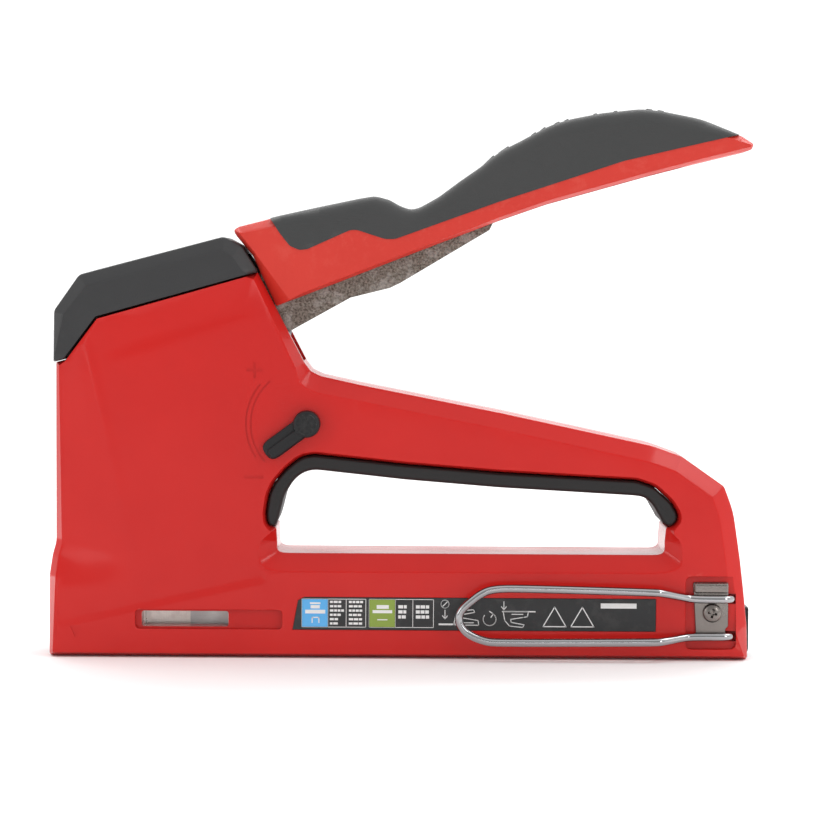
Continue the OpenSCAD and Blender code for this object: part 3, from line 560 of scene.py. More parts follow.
redPaint = finish("redPaint", color=(0.55, 0.016, 0.013), second=(0.5, 0.013, 0.011), specular=0.2,
                  rough=(0.16, 0.24), grainScale=1500, bump=0.03, coat=0.08, coatRough=0.06, scuff=0.12,
                  wear=0.2, wearStart=0.56, wearColor=(0.75, 0.2, 0.16))
redPlastic = finish("redPlastic", color=(0.59, 0.033, 0.02), second=(0.54, 0.028, 0.017), specular=0.35,
                    rough=(0.42, 0.55), grainScale=1900, bump=0.12, wear=0.25, wearColor=(0.75, 0.2, 0.15))
capPlastic = finish("capPlastic", color=(0.028, 0.028, 0.029), second=(0.023, 0.023, 0.024), specular=0.4,
                    rough=(0.42, 0.52), grainScale=1700, bump=0.1, wear=0.3, wearColor=(0.12, 0.12, 0.12))
softRubber = finish("softRubber", color=(0.038, 0.039, 0.039), second=(0.05, 0.05, 0.05), specular=0.35,
                    rough=(0.62, 0.75), grainScale=2200, bump=0.2, sheen=0.15, scuff=0.5, wear=0.4,
                    wearColor=(0.1, 0.1, 0.1))
darkRubber = finish("darkRubber", color=(0.013, 0.012, 0.012), second=(0.018, 0.017, 0.017), specular=0.35,
                    rough=(0.5, 0.62), grainScale=2200, bump=0.15, wear=0.3, wearColor=(0.07, 0.07, 0.07))
blackPlastic = finish("blackPlastic", color=(0.012, 0.012, 0.013), second=(0.017, 0.017, 0.018),
                      specular=0.25, rough=(0.32, 0.45), grainScale=1600, bump=0.16, wear=0.5,
                      wearColor=(0.12, 0.12, 0.12))
stippledPlastic = finish("stippledPlastic", color=(0.012, 0.012, 0.013), second=(0.018, 0.018, 0.018),
                         specular=0.2, rough=(0.45, 0.55), grainScale=1100, coarse=1.0, bump=0.9, speck=0.35,
                         speckColor=(0.05, 0.05, 0.05), wear=0.3)
paleNylon = finish("paleNylon", color=(0.55, 0.53, 0.48), second=(0.5, 0.48, 0.43), rough=(0.4, 0.5),
                   bump=0.1)
leverSteel = finish("leverSteel", color=(0.08, 0.062, 0.05), second=(0.055, 0.042, 0.034), metal=0.6,
                    rough=(0.42, 0.6), grainScale=1500, coarse=0.8, bump=0.55, speck=0.7,
                    speckColor=(0.3, 0.26, 0.22), drift=0.35, toneScale=260, wearColor=(0.6, 0.57, 0.54))
chrome = finish("chrome", color=(0.4, 0.4, 0.41), second=(0.32, 0.32, 0.33), metal=1, rough=(0.06, 0.14),
                grainScale=700, bump=0.02, scuff=0.2, wear=0.15, wearColor=(0.6, 0.6, 0.62))
nickel = finish("nickel", color=(0.23, 0.205, 0.19), second=(0.18, 0.16, 0.15), metal=1, rough=(0.25, 0.4),
                grainScale=1300, bump=0.12, wear=0.3, wearColor=(0.5, 0.48, 0.45))
brightSteel = finish("brightSteel", color=(0.86, 0.83, 0.78), second=(0.74, 0.71, 0.66), metal=1,
                     rough=(0.2, 0.32), stretch=(1, 1, 7), grainScale=1400, bump=0.12)
bluedSteel = finish("bluedSteel", color=(0.16, 0.17, 0.19), second=(0.1, 0.1, 0.11), metal=1,
                    rough=(0.3, 0.42), grainScale=1200, bump=0.15)
zincSteel = finish("zincSteel", color=(0.56, 0.56, 0.54), second=(0.44, 0.45, 0.45), metal=1, drift=0.9,
                   rough=(0.3, 0.45), stretch=(1, 6, 6), grainScale=1100, bump=0.15, toneScale=120)
bronze = finish("bronze", color=(0.5, 0.32, 0.16), second=(0.4, 0.24, 0.12), metal=1, rough=(0.35, 0.5),
                grainScale=1300, bump=0.2)
labelFilm = finish("labelFilm", color=(0.03, 0.031, 0.032), second=(0.025, 0.026, 0.027), specular=0.3,
                   rough=(0.34, 0.42), grainScale=2500, bump=0.03, wear=0.1, scuff=0.4)
inkFinish = {"rough": (0.4, 0.5), "grainScale": 2600, "bump": 0.05, "wear": 0, "scuff": 0.3}
whiteInk = finish("whiteInk", color=(0.78, 0.78, 0.77), second=(0.66, 0.66, 0.66), **inkFinish)
blueInk = finish("blueInk", color=(0.1, 0.42, 0.8), second=(0.08, 0.38, 0.75), **inkFinish)
oliveInk = finish("oliveInk", color=(0.24, 0.34, 0.05), second=(0.21, 0.3, 0.045), **inkFinish)
print("finishes ready:", len(bpy.data.materials))

# CAD nodes whose shape stays, with the finish each one carries
keptNodes = {
    "nose_plate": zincSteel, "guide_block": blackPlastic, "plunger_bumper": darkRubber,
    "spring_seat": zincSteel, "magazine_track": brightSteel, "pivot_pin": brightSteel,
    "pivot_rings": paleNylon, "hook_nut": zincSteel, "knob_detent": bluedSteel, "plunger": bluedSteel,
    "driver_blade": brightSteel, "blade_pin": brightSteel, "lever_arm": leverSteel, "cover_screws": nickel,
    "lever_roller": brightSteel, "roller_pin": brightSteel, "lever_bush": bronze, "knob_shaft": zincSteel,
    "knob_ring": zincSteel, "magazine_rail": brightSteel, "guide_rod": brightSteel, "pusher": zincSteel,
    "magazine_latch": blackPlastic, "latch_pin": brightSteel}
for name, material in keptNodes.items():
    mesh = frame["nodes"][name].data
    mesh.materials.clear()
    mesh.materials.append(material)

# housing: outline points are (x, z, bevel width, corner radius), going round from the nose

housing = {
    "seam": 0.05, "flat": 11.3, "opening": 12.0, "marks": 0.28,
    "noseSlope": 0.08, "noseRidge": 0.22, "topStep": 0.34, "panelStep": 0.28,
    "outline": [
        (nx(0), 0, 1.4, 1), (rx(0), 0, 1.4, 1), (rx(0.3), 10, 4.3, 25), (rx(1.3), 20, 4.7, 60),
        (rx(2.5), 30, 4.7, 60), (rx(4.6), 44, 4.7, 30), (rx(7.4), 51.4, 4.7, 2.5),
        (rx(20), 60.2, 4.7, 3), (rx(29), 63.4, 4.7, 30), (rx(74), 72.9, 4.7, 90), (nx(91.7), 81, 4.7, 40),
        (nx(80.5), 83.4, 5, 5), (nx(77.3), 84.9, 5, 1.5), (nx(75.4), 87.4, 2.8, 6),
        (nx(61.45), headZ, 1.8, 0.4), (nx(58), hz(-0.99), 0.4, 0.4),
        (nx(14.2), hz(-13.6), 0.4, 0.5), (nx(4.8), hz(-26.1), 0.4, 0.5),
        (nx(2), hz(-26.9), 1.2, 0.5), (nx(2), 34, 2, 8), (nx(0.9), 30, 2, 8), (nx(0), 24, 2.2, 6)],
    "insertSeat": [
        (rx(23.2), 39.4), (rx(21.4), 41.2), (rx(21.3), 43.4), (rx(23.4), 46.9), (rx(28.3), 51.4),
        (rx(33.6), 53.2), (rx(74), 55.3), (nx(105.5), 57.5), (nx(78.6), 60.3), (nx(74.5), 59.7),
        (nx(69.9), 55.8), (nx(66.7), 51.9), (nx(65.2), 48.6), (nx(64.3), 42.9), (nx(64.6), 40.2),
        (nx(65.6), 38.9)],
    "window": (nx(25.8), 8.5, nx(69.3), 14.3), "windowHole": (nx(27.6), 9.1, nx(53.3), 13.7),
    "label": [(nx(72.4), 8.6), (rx(27.7), 8.6), (rx(27.7), 18.2), (nx(75.8), 18.2), (nx(74), 17.2)],
    "hookRecess": (rx(18.9), 3.4, rx(3.9), 25)}

# finger opening: floor and ends first, then the seat of the rubber insert
opening = [(nx(67.6), 34.4, -5.4, 0.5), (nx(67.6), 31, -5.4, 3.2), (rx(25), 31, -5.2, 3.2),
           (rx(25), 35, -5.0, 0.6), (rx(24.6), 39.2, -2.4, 0.8)]
opening += [(x, z, -1.0, 9) for x, z in housing["insertSeat"]] + [(nx(67.3), 38.6, -1.2, 0.6)]


def ease(t):
    t = min(max(t, 0), 1)
    return t * t * (3 - 2 * t)


def rampUp(t, width):
    # zero below, a straight slope above, and a soft turn of the given width between
    return 0 if t < -width else t if t > width else (t + width) ** 2 / (4 * width)


def reliefAt(x, z):
    # how far the flat side falls back at a point: taper to the nose, top band and head panel
    noseLine = nx(27.4) - (z - 21) * 16.4 / 71
    taper = housing["noseSlope"] * rampUp(noseLine - x, 1.5) * ease((z - 20) / 14)
    ridge = math.exp(-((noseLine - x) / 1.7) ** 2) * ease((z - 30) / 20) * ease((hz(-19) - z) / 12)
    ridge *= housing["noseRidge"]
    top = z - 90.9 - 0.313 * (x - nx(24.15))
    top = housing["topStep"] * ease(top / 3.4 + 0.5) * ease((x - nx(15)) / 14)
    low = z - 14.7 - 0.226 * (x - nx(26.1))
    panel = ease((nx(64.3) - x) / 2.2 + 0.5) * ease(low / 2.2 + 0.5) * ease((72 - z) / 34)
    panel *= housing["panelStep"]
    return taper - ridge + top + panel


def sideAt(x, z):
    return -sideY + reliefAt(x, z)


def shellRings(corners, profile, start):
    rings = []
    for y, k in profile:
        share = max(0, (-y - start) / (sideY - start))
        rings.append([(p.x, y + share * reliefAt(p.x, p.y), p.y) for p in ring(corners, k)])
    return rings


def shellSolid(name):
    h = housing
    drop = sideY - h["flat"]
    outer = [(-h["seam"], 0.07), (-h["seam"] - 0.4, 0), (-h["flat"] + 0.4, 0), (-h["flat"] + 0.05, 0.02)]
    outer += [(-h["flat"] - drop * t, t) for t in (0.08, 0.3, 0.6, 0.92)]
    outer += [(-sideY + 0.08, 0.985), (-sideY, 1.05)]
    drop = sideY - h["opening"]
    hole = [(-h["seam"], 0), (-h["opening"] + 0.3, 0), (-h["opening"], 0.02)]
    hole += [(-h["opening"] - drop * t, t) for t in (0.1, 0.5, 0.9)] + [(-sideY + 0.08, 0.98), (-sideY, 1.05)]
    bm = bmesh.new()
    addBand(bm, shellRings(h["outline"], outer, h["flat"]))
    addBand(bm, shellRings(opening, hole, h["opening"]))
    addSheet(bm, ring(h["outline"], 1.05), ring(opening, 1.05), sideAt,
             ((noseX, nx(72), 1.1), (nx(72), rearX, 6)))
    addSheet(bm, ring(h["outline"], 0.07), ring(opening, 0), lambda x, z: -h["seam"])
    return fromBmesh(name, bm, 0.004)


# room inside for the plunger, lever, base and magazine, as (depth, outline)
hollows = [
    (8.2, [(nx(4.2), -1), (nx(23.1), -1), (nx(23.1), hz(9)), (nx(4.2), hz(9))]),
    (12.5, [(nx(20.5), 19.7), (nx(61.5), 19.7), (nx(61.5), 60), (nx(66), 64), (nx(66), 84), (nx(57), 92),
            (nx(57), hz(9)), (nx(20.5), hz(9))]),
    (9.2, [(nx(50), 84), (nx(72), 87), (nx(90), 92), (nx(90), hz(9)), (nx(50), hz(9))]),
    (6.85, [(nx(-1), -1), (rx(-1), -1), (rx(-1), 17.7), (nx(-1), 17.7)]),
    (8.25, [(rx(1.55), -1), (rx(-1), -1), (rx(-1), 17.7), (rx(1.55), 17.7)])]


def makeHousing(name, left):
    piece = shellSolid(name)
    outside = -sideY - 1

    def cutOut(points, y0, y1, flare=0.0, lip=0.25):
        carve(piece, prism("cutter", points, y0, y1, flare, lip))

    for depth, points in hollows:
        cutOut(points, -depth, 1)
    cutOut(rectangle(*housing["window"], 1.4), outside, -sideY + 2, 0.3, 0.85)
    cutOut(rectangle(*housing["windowHole"], 0.8), outside, 1)
    grown = sharpRing([(x, z, 1) for x, z in housing["label"]], -0.12)
    cutOut([(p.x, p.y) for p in grown], outside, -sideY + 0.5, 0.12, 0.93)
    for points in engraved(left):
        cutOut(points, outside - 0.2, sideAt(*points[0]) + housing["marks"])
    if left:
        cutOut(rectangle(*housing["hookRecess"], 2), outside, -sideY + 1.6, 0.35, 0.8)
        clip = middle("hook_screw")
        for z in (clip.z - 7, clip.z + 4.1):
            cutOut(rectangle(rx(10.5), z - 1.5, rx(3.9), z + 1.5), outside, -sideY + 4.6)
        knobAt = middle("knob_ring")
        carve(piece, lathe("cutter", [(0, -12), (5.6, -12), (5.6, 1), (0, 1)], (knobAt.x, 0, knobAt.z)))
    else:
        for x, z in screwSpots:
            carve(piece, lathe("cutter", [(0, -17), (3.45, -17), (3.45, -15.5), (3.1, -15.1), (3.1, -12.9),
                                          (0, -12.9)], (x, 0, z)))
        mirrored(piece)
    return shade(piece, 30)


# the six screws of the far side, as (x, z)
screwSpots = [(nx(36), 66), (nx(54), 42), (rx(73), 64.6), (rx(16.5), 46), (nx(88), 24.4), (rx(36), 24.4)]
knob = {"x": middle("knob_ring").x, "z": middle("knob_ring").z, "reach": 15, "half": 3.0, "tilt": 36.5,
        "base": sideY + 0.2, "travel": ((16.6, 131, 222), (18, 140, 213))}


def arcBand(r, halfWidth, start, stop, steps=10):
    out = []
    for way, radius in ((1, r + halfWidth), (-1, r - halfWidth)):
        for s in range(steps + 1)[::way]:
            a = math.radians(start + (stop - start) * s / steps)
            out.append((knob["x"] + radius * math.cos(a), knob["z"] + radius * math.sin(a)))
    return out


def engraved(left):
    # a small arrow by the nose, and on the knob's side its plus, minus and travel lines
    marks = [[(noseX + 9.6, 9.2), (noseX + 6.6, 9.2), (noseX + 8.1, 6)]]
    if left:
        x, z, w, s = nx(60.9), 85.3, 0.35, 2.3
        marks += [rectangle(x - s, z - w, x + s, z + w), rectangle(x - w, z - s, x + w, z + s),
                  rectangle(nx(58), 53.3, nx(63.6), 54.1)]
        marks += [arcBand(r, 0.24, start, stop) for r, start, stop in knob["travel"]]
    return [[p[:2] for p in m] for m in marks]


place(makeHousing("redShellLeft", True), "left_housing", "housing_red", redPaint)
place(makeHousing("redShellRight", False), "right_housing", "housing_red", redPaint)
print("housing built")

# cap on the head, and the rubber insert in the finger opening

cap = {
    "half": sideY + 0.1, "depth": 2.6,
    "outline": [
        (nx(61.6), hz(0.03), 0.25, 0.5), (nx(61.1), hz(1), 3.4, 0.8), (nx(56.9), hz(7.7), 3.8, 3),
        (nx(51.6), hz(10.5), 3.8, 3), (nx(14.3), hz(0.5), 3.8, 8), (nx(8.9), hz(-1), 3.6, 3),
        (nx(1.5), hz(-11.6), 3.0, 3), (nx(1.4), hz(-26.8), 0.25, 0.5), (nx(4.7), hz(-25.97), 0.25, 0.5),
        (nx(14.1), hz(-13.47), 0.25, 0.5)],
    "hollow": [
        (nx(58.4), hz(-4)), (nx(57.4), hz(3)), (nx(55.6), hz(6.2)), (nx(51.4), hz(7.8)), (nx(14.6), hz(-2)),
        (nx(9.6), hz(-3.2)), (nx(4.2), hz(-10.6)), (nx(4.2), hz(-30)), (nx(14), hz(-30)), (nx(18), hz(-16))]}


def softChamfer(half, depth, turn=0.12):
    # (y, k) pairs of a flat bevel whose two edges are eased a little
    return [(half, 1.04), (half - 0.06 * depth, 0.975), (half - turn * depth, 1 - turn),
            (half - depth / 2, 0.5), (half - (1 - turn) * depth, turn), (half - depth - 0.02, 0.03),
            (half - 1.15 * depth, 0)]


topCap = skin("blackCap", bothSides(cap["outline"], softChamfer(cap["half"], cap["depth"])))
carve(topCap, prism("cutter", cap["hollow"], -12.5, 12.5))
carve(topCap, prism("cutter", rectangle(nx(50), hz(-12), nx(64), hz(5.5)), -9.2, 9.2))
place(shade(topCap, 30), "top_cap", "cap_grey", capPlastic)

insert = {
    "half": 14.2, "depth": 1.7,
    "outer": [p + (0.9, 9) for p in housing["insertSeat"]],
    "inner": [
        (nx(67.6), 38.9), (nx(69.9), 48.4), (nx(72.9), 53), (nx(75.6), 55), (nx(78.7), 55.7),
        (nx(105.3), 52.9), (rx(74), 50.7), (rx(34.8), 48.6), (rx(31.2), 48.2), (rx(28.8), 45.8),
        (rx(26.6), 42), (rx(25.6), 40)]}
insertCorners = insert["outer"] + [p + (1.5, 9) for p in insert["inner"]]
rubber = skin("rubberInsert", bothSides(insertCorners, rounded(insert["half"], insert["depth"]), grow=-0.12))
place(shade(rubber, 50), "grip_insert", "rubber_grip", darkRubber)
print("cap and insert built")

# lever: red cover, soft grip with its raised pads, and the return spring

lever = {
    "half": 13.5, "depth": 3.2, "gripDepth": 4.6, "gripProud": 0.22, "gripEdge": 4.8,
    "outline": [
        (nx(66.9), hz(-10), 0.8, 0.8, (3.9, 1.9)), (nx(75.4), hz(-6.7), 0.8, 6),
        (nx(115.2), hz(8.9), 0.8, 20), (nx(127), hz(13.4), 0.8, 20),
        (rx(74.5), hz(15.8), 0.8, 20), (rx(60), hz(20.9), 0.8, 30), (rx(30.5), hz(29.3), 0.8, 30),
        (rx(15.7), hz(33.2), 0.8, 30), (rx(0.4), hz(37), 0.8, 0.8), (rx(-0.3), hz(38.6), 0.8, 0.8),
        (rx(3), hz(40.8), 1.7, 2), (rx(15.1), hz(45.7), 3, 30), (rx(27), hz(48), 3, 20),
        (rx(33), hz(48.6), 3, 20), (rx(44.7), hz(47.3), 3, 30), (rx(53.7), hz(45.5), 3, 30),
        (rx(59.7), hz(43.7), 3, 30), (rx(68.5), hz(38.9), 3, 30), (rx(74.5), hz(35.9), 3, 30),
        (rx(80.4), hz(31.1), 3, 30), (rx(86.4), hz(26.9), 3, 30), (rx(92.4), hz(22.4), 3, 20),
        (rx(98.2), hz(19.1), 3, 8), (rx(101), hz(18.5), 3, 6), (rx(104.2), hz(19.7), 3, 8),
        (rx(107.2), hz(21.4), 3, 6), (nx(96), hz(22.5), 3, 6), (nx(91.4), hz(21.7), 3, 10),
        (nx(79.6), hz(19.2), 3, 20), (nx(67.6), hz(16.5), 2.8, 20), (nx(55.8), hz(13.4), 2.0, 1.5),
        (nx(53.9), hz(12.2), 1.2, 2), (nx(60), hz(4.8), 0.8, 1, (0.9, 0.7))],
    "gripLine": [
        (nx(65.1), hz(15.9), 0), (nx(68.2), hz(11.3), 3), (nx(71), hz(7.8), 2.5), (nx(73.8), hz(6.6), 2.5),
        (nx(76.2), hz(6.9), 2.5), (nx(88.8), hz(12.6), 4), (nx(90.8), hz(12.6), 3), (nx(99), hz(10), 4),
        (nx(102), hz(10), 4), (rx(74.7), hz(21.2), 20), (rx(38), hz(33.4), 20), (rx(3), hz(41.6), 0)],
    "ridge": [(rx(20), hz(38.4)), (rx(60), hz(36.8)), (rx(84), hz(24.6)), (rx(100), hz(14.6)),
              (nx(97), hz(13.6)), (nx(70), hz(10.8))],
    "pads": [(24, 27.6), (28.4, 32), (38, 40), (40.8, 42.8), (45, 47), (47.8, 49.6), (56.4, 58),
             (62.4, 64), (72, 74.4), (75.4, 77.8)]}


def leverHollow():
    low = [(nx(60), hz(-20)), (nx(115), hz(4)), (rx(74), hz(14)), (rx(19.6), hz(31.6)), (rx(19.6), hz(38.4))]
    front = [(nx(61.8), hz(7.2)), (nx(55), hz(-8))]
    return prism("cutter", low + lever["ridge"] + front, -8.7, 8.7)


def gripRegion(drop):
    line = [(x, z - drop, r) for x, z, r in lever["gripLine"]]
    return prism("cutter", line + [(rx(-4), hz(60), 0), (nx(63), hz(60), 0)], -20, 20)


coverEdge = softChamfer(lever["half"], lever["depth"])
cover = skin("redLeverCover", bothSides(lever["outline"], coverEdge, ringSteps=3))
carve(cover, leverHollow())
carve(cover, gripRegion(0))
place(shade(cover, 30), "lever_cover", "cover_red", redPlastic)

# the grip stands a little proud of the cover and is rounder along its top
wide = [(p[0], p[1], lever["gripEdge"] if p[2] == 3 else p[2], *p[3:]) for p in lever["outline"]]
gripRound = rounded(lever["half"] + lever["gripProud"], lever["gripDepth"], 7)
grip = skin("softLeverGrip", bothSides(wide, gripRound, grow=lever["gripProud"], ringSteps=3))
carve(grip, gripRegion(-0.02), "INTERSECT")
carve(grip, leverHollow())


def topAt(x):
    # height of the grip's ridge line at x
    line = [(p[0], p[1]) for p in lever["outline"][10:]]
    for a, b in zip(line, line[1:]):
        if b[0] <= x <= a[0]:
            return a[1] + (b[1] - a[1]) * (a[0] - x) / (a[0] - b[0])
    return line[0][1]


def gripPad(x0, x1):
    lift = 0.6
    corners = [(x0, topAt(x0) - 0.6, 0.3, 0.2), (x1, topAt(x1) - 0.6, 0.3, 0.2),
               (x1 - 0.3, topAt(x1) + lift, 0.8, 0.4), (x0 + 0.3, topAt(x0) + lift, 0.8, 0.4)]
    return skin("pad", bothSides(corners, rounded(9.2, 1.6, 4)))


grip = joined("softLeverGrip.pads", [shade(grip, 40)] + [shade(gripPad(*p), 40) for p in lever["pads"]])
grip.name = "softGrip"
place(grip, "lever_grip", "grip_soft", softRubber)

torsion = {"radius": 5.3, "half": 4, "wire": 1.1, "turns": 6, "leg": [(-18, -4), (-10, -0.6), (-5.6, 1.5)]}


def torsionSpring(s):
    bm = bmesh.new()
    addTube(bm, [(pivot.x + x, -s["half"], pivot.z + z) for x, z in s["leg"]], s["wire"] / 2, 10)
    path = []
    for i in range(28 * s["turns"] + 1):
        a = math.pi * i / 14
        y = -s["half"] + 2 * s["half"] * a / (2 * math.pi * s["turns"])
        path.append((pivot.x + s["radius"] * math.cos(a), y, pivot.z + s["radius"] * math.sin(a)))
    addTube(bm, path, s["wire"] / 2, 10)
    return fromBmesh("torsionSpring", bm)


place(shade(torsionSpring(torsion), 50), "return_spring", "spring_steel", bluedSteel)
print("lever built")

# power knob

def aboutKnob(piece, degrees):
    centre = Vector((knob["x"], 0, knob["z"])) * mm
    turn = Matrix.Rotation(math.radians(degrees), 4, "Y")
    piece.data.transform(Matrix.Translation(centre) @ turn @ Matrix.Translation(-centre))
    return piece


def makeKnob():
    k = knob
    y = -k["base"]
    arm = rectangle(k["x"] - k["reach"], k["z"] - k["half"], k["x"], k["z"] + k["half"])
    arm = [(x, z, 0.8, 2.8) for x, z, _ in arm]
    low, high = k["z"] - k["half"], k["z"] + 0.75
    ridge = [(k["x"] - k["reach"] + 0.3, low + 0.2, 0.6, 2.4), (k["x"], low + 0.2, 0.6, 0.4),
             (k["x"] - 1.5, high, 0.6, 0.5), (k["x"] - k["reach"] + 1, high, 0.6, 1.6)]
    profile = [(y - 2.6, 1), (y - 2.45, 0.55), (y - 2.1, 0.15), (y - 1.8, 0), (y, 0)]
    plate = skin("knobArm", [flatRing(ring(arm, q), t) for t, q in profile])
    profile = [(y - 3.5, 1), (y - 3.35, 0.55), (y - 3.0, 0.15), (y - 2.8, 0), (y - 1, 0)]
    raised = skin("knobRidge", [flatRing(ring(ridge, q), t) for t, q in profile])
    profile = [(0, y - 3.9), (3.0, y - 3.9), (3.3, y - 3.82), (3.75, y - 3.5), (3.95, y - 3.0),
               (4.05, y - 0.4), (3.9, y), (0, y)]
    hub = lathe("knobHub", profile, (k["x"], 0, k["z"]), sides=56)
    carve(plate, raised, "UNION")
    carve(plate, hub, "UNION")
    return aboutKnob(shade(plate, 28), -k["tilt"])


knobPiece = makeKnob()
knobPiece.name = "powerKnob"
place(knobPiece, "power_knob", "knob_black", blackPlastic)
y = -knob["base"]
disc = lathe("knobFace", [(0, y - 4.05), (2.7, y - 4.05), (3.05, y - 3.95), (3.1, y - 3.7), (0, y - 3.7)],
             (knob["x"], 0, knob["z"]), sides=48)
place(shade(disc, 40), "power_knob", "knob_black", stippledPlastic)

# screws

def phillipsHead(name, radius, dome, height, centre):
    # head whose face looks along -Y from centre
    profile = [(0, -height - dome), (radius * 0.45, -height - dome * 0.86),
               (radius * 0.8, -height - dome * 0.4), (radius * 0.96, -height + 0.1), (radius, -height + 0.4),
               (radius, 0), (0, 0)]
    head = lathe(name, profile, (0, 0, 0), sides=48)
    deep, wing, arm = 1.3, 0.42, radius * 0.56  # the cross: its depth, half width and reach
    for turn in (0, 90):
        top = -height - dome - 0.2
        bm = bmesh.new()
        rows = [[(-arm * s, yy, -wing * s), (arm * s, yy, -wing * s), (arm * s, yy, wing * s),
                 (-arm * s, yy, wing * s)] for s, yy in ((1, top), (0.5, -height - dome + deep))]
        addBand(bm, rows, close=True)
        cross = fromBmesh("cutter", bm)
        cross.data.transform(Matrix.Rotation(math.radians(turn + 12), 4, "Y"))
        carve(head, cross)
    shade(head, 35)
    head.data.transform(Matrix.Translation(Vector(centre) * mm))
    return head


hookScrew = middle("hook_screw")
screw = phillipsHead("hookScrew", 2.8, 0.7, 1.1, (hookScrew.x, -sideY + 0.6, hookScrew.z))
place(screw, "hook_screw", "screw_nickel", nickel)
heads = []
for x, z in screwSpots:
    head = phillipsHead("head", 2.75, 0.45, 1.3, (x, 0, z))
    head.data.transform(Matrix.Rotation(math.pi, 4, "Z") @ Matrix.Translation((-2 * x * mm, 0, 0)))
    head.data.transform(Matrix.Translation((0, (sideY - 2.5) * mm, 0)))
    heads.append(head)
place(joined("shellScrews", heads), "housing_screws", "screw_nickel", nickel)
print("knob and screws built")

# belt hook and the clip that holds it

hook = {"wire": 2.4, "up": 18.3, "low": 7.2, "tuck": sideY - 3.1, "clip": sideY + 0.65, "out": 21.3,
        "start": 17.7, "length": 68}


def cornerCut(path, rounds):
    # each round takes the corners off the path, which turns it into a smooth bend
    for _ in range(rounds):
        new = [path[0]]
        for a, b in zip(path, path[1:]):
            new += [a.lerp(b, 0.25), a.lerp(b, 0.75)]
        path = new + [path[-1]]
    return path


def hookPath(h):
    x0 = rx(h["start"])
    x1, x2 = x0 - 8.5, x0 - h["length"]
    up, low, far = h["up"], h["low"], -h["out"]
    points = [(rx(9), -h["tuck"], up), (rx(5.6), -h["tuck"], up), (rx(5.4), -h["clip"], up),
              (x0 + 1.5, -h["clip"], up), (x0 - 1.5, -h["clip"] - 0.3, up + 0.5), (x1, far + 0.2, up + 2.3),
              (x1 - 3, far, up + 2.6), (x2 + 18, far, up + 3.5), (x2 + 11, far, up + 3.4),
              (x2 + 7, far, up + 2.5), (x2 + 2.2, far, up - 1.2), (x2, far, up - 3.6),
              (x2 - 0.3, far, (up + low) / 2),
              (x2, far, low + 3.8), (x2 + 2.2, far, low + 1), (x2 + 7, far, low - 1.0),
              (x2 + 11, far, low - 1.5),
              (x1 - 3, far, low - 1.1), (x1, far + 0.2, low - 0.9), (x0 - 1.5, -h["clip"] - 0.3, low - 0.2),
              (x0 + 1.5, -h["clip"], low), (rx(5.4), -h["clip"], low), (rx(5.6), -h["tuck"], low),
              (rx(9), -h["tuck"], low)]
    return cornerCut([Vector(p) for p in points], 3)


place(shade(tube("beltHook", hookPath(hook), hook["wire"] / 2, 24), 60), "belt_hook", "hook_chrome", chrome)


clip = {"down": 8.4, "up": 9.1, "hole": 1.6}


def clipPlate():
    low, high = hookScrew.z - clip["down"], hookScrew.z + clip["up"]
    corners = [(rx(15.6), low, 0.3, 0.8), (rx(7), low, 0.3, 0.8), (rx(7), low + 3.6, 0.3, 0.6),
               (rx(6.2), low + 4.4, 0.3, 0.6), (rx(6.2), high, 0.3, 0.8), (rx(16.7), high, 0.3, 0.8)]
    plate = skin("clipPlate", [flatRing(ring(corners, k), -sideY + d) for d, k in
                               ((0.6, 1), (0.68, 0.4), (0.85, 0), (1.3, 0), (1.45, 0.6))])
    hole = [(0, -20), (clip["hole"], -20), (clip["hole"], 0), (0, 0)]
    carve(plate, lathe("cutter", hole, (hookScrew.x, 0, hookScrew.z)))
    bands = []
    for z0, z1, x0, x1 in ((high - 3.4, high, rx(16.4), rx(6.3)), (low, low + 1.2, rx(15.4), rx(7.2))):
        band = [(-sideY + 0.9, z0, 0.7, 0.9), (-sideY + 0.9, z1, 0.7, 0.9),
                (-sideY - 0.75, z1 - 0.3, 0.7, 0.9), (-sideY - 0.75, z0 + 0.3, 0.7, 0.9)]
        rows = [[(x, p.x, p.y) for p in ring(band, k)] for x, k in
                ((x0, 1), (x0 + 0.15, 0.4), (x0 + 0.5, 0), (x1 - 0.5, 0), (x1 - 0.15, 0.4), (x1, 1))]
        bands.append(shade(skin("band", rows), 40))
    return joined("hookClip", [shade(plate, 30)] + bands)


place(clipPlate(), "hook_clip", "clip_steel", nickel)
print("hook built")

# labels: plain colour blocks, ruled columns and line drawings

label = {"proud": 0.05, "thick": 0.45, "ink": 0.04, "line": 0.24}


def labelPlate(name):
    corners = [(x, z, 0.15, 0.2) for x, z in housing["label"]]
    return skin(name, [flatRing(ring(corners, k), -sideY - label["proud"] + d) for d, k in
                       ((0, 1), (0.1, 0.1), (label["thick"], 0))])


def inkPlate(bm, points, slot):
    y = -sideY - label["proud"]
    rows = [[bm.verts.new((x, t, z)) for x, z in points] for t in (y - label["ink"], y + 0.02)]
    n = len(points)
    faces = [bm.faces.new(r) for r in rows]
    for i in range(n):
        j = (i + 1) % n
        faces.append(bm.faces.new((rows[0][i], rows[0][j], rows[1][j], rows[1][i])))
    for f in faces:
        f.material_index = slot


def inkLine(bm, points, slot=0, closed=False, width=None):
    w = (width or label["line"]) / 2
    points = [Vector(p) for p in points]
    for a, b in zip(points, points[1:] + points[:1] if closed else points[1:]):
        d = (b - a).normalized()
        n = Vector((-d.y, d.x)) * w
        a2, b2 = a - d * w, b + d * w
        inkPlate(bm, [tuple(p) for p in (a2 - n, b2 - n, b2 + n, a2 + n)], slot)


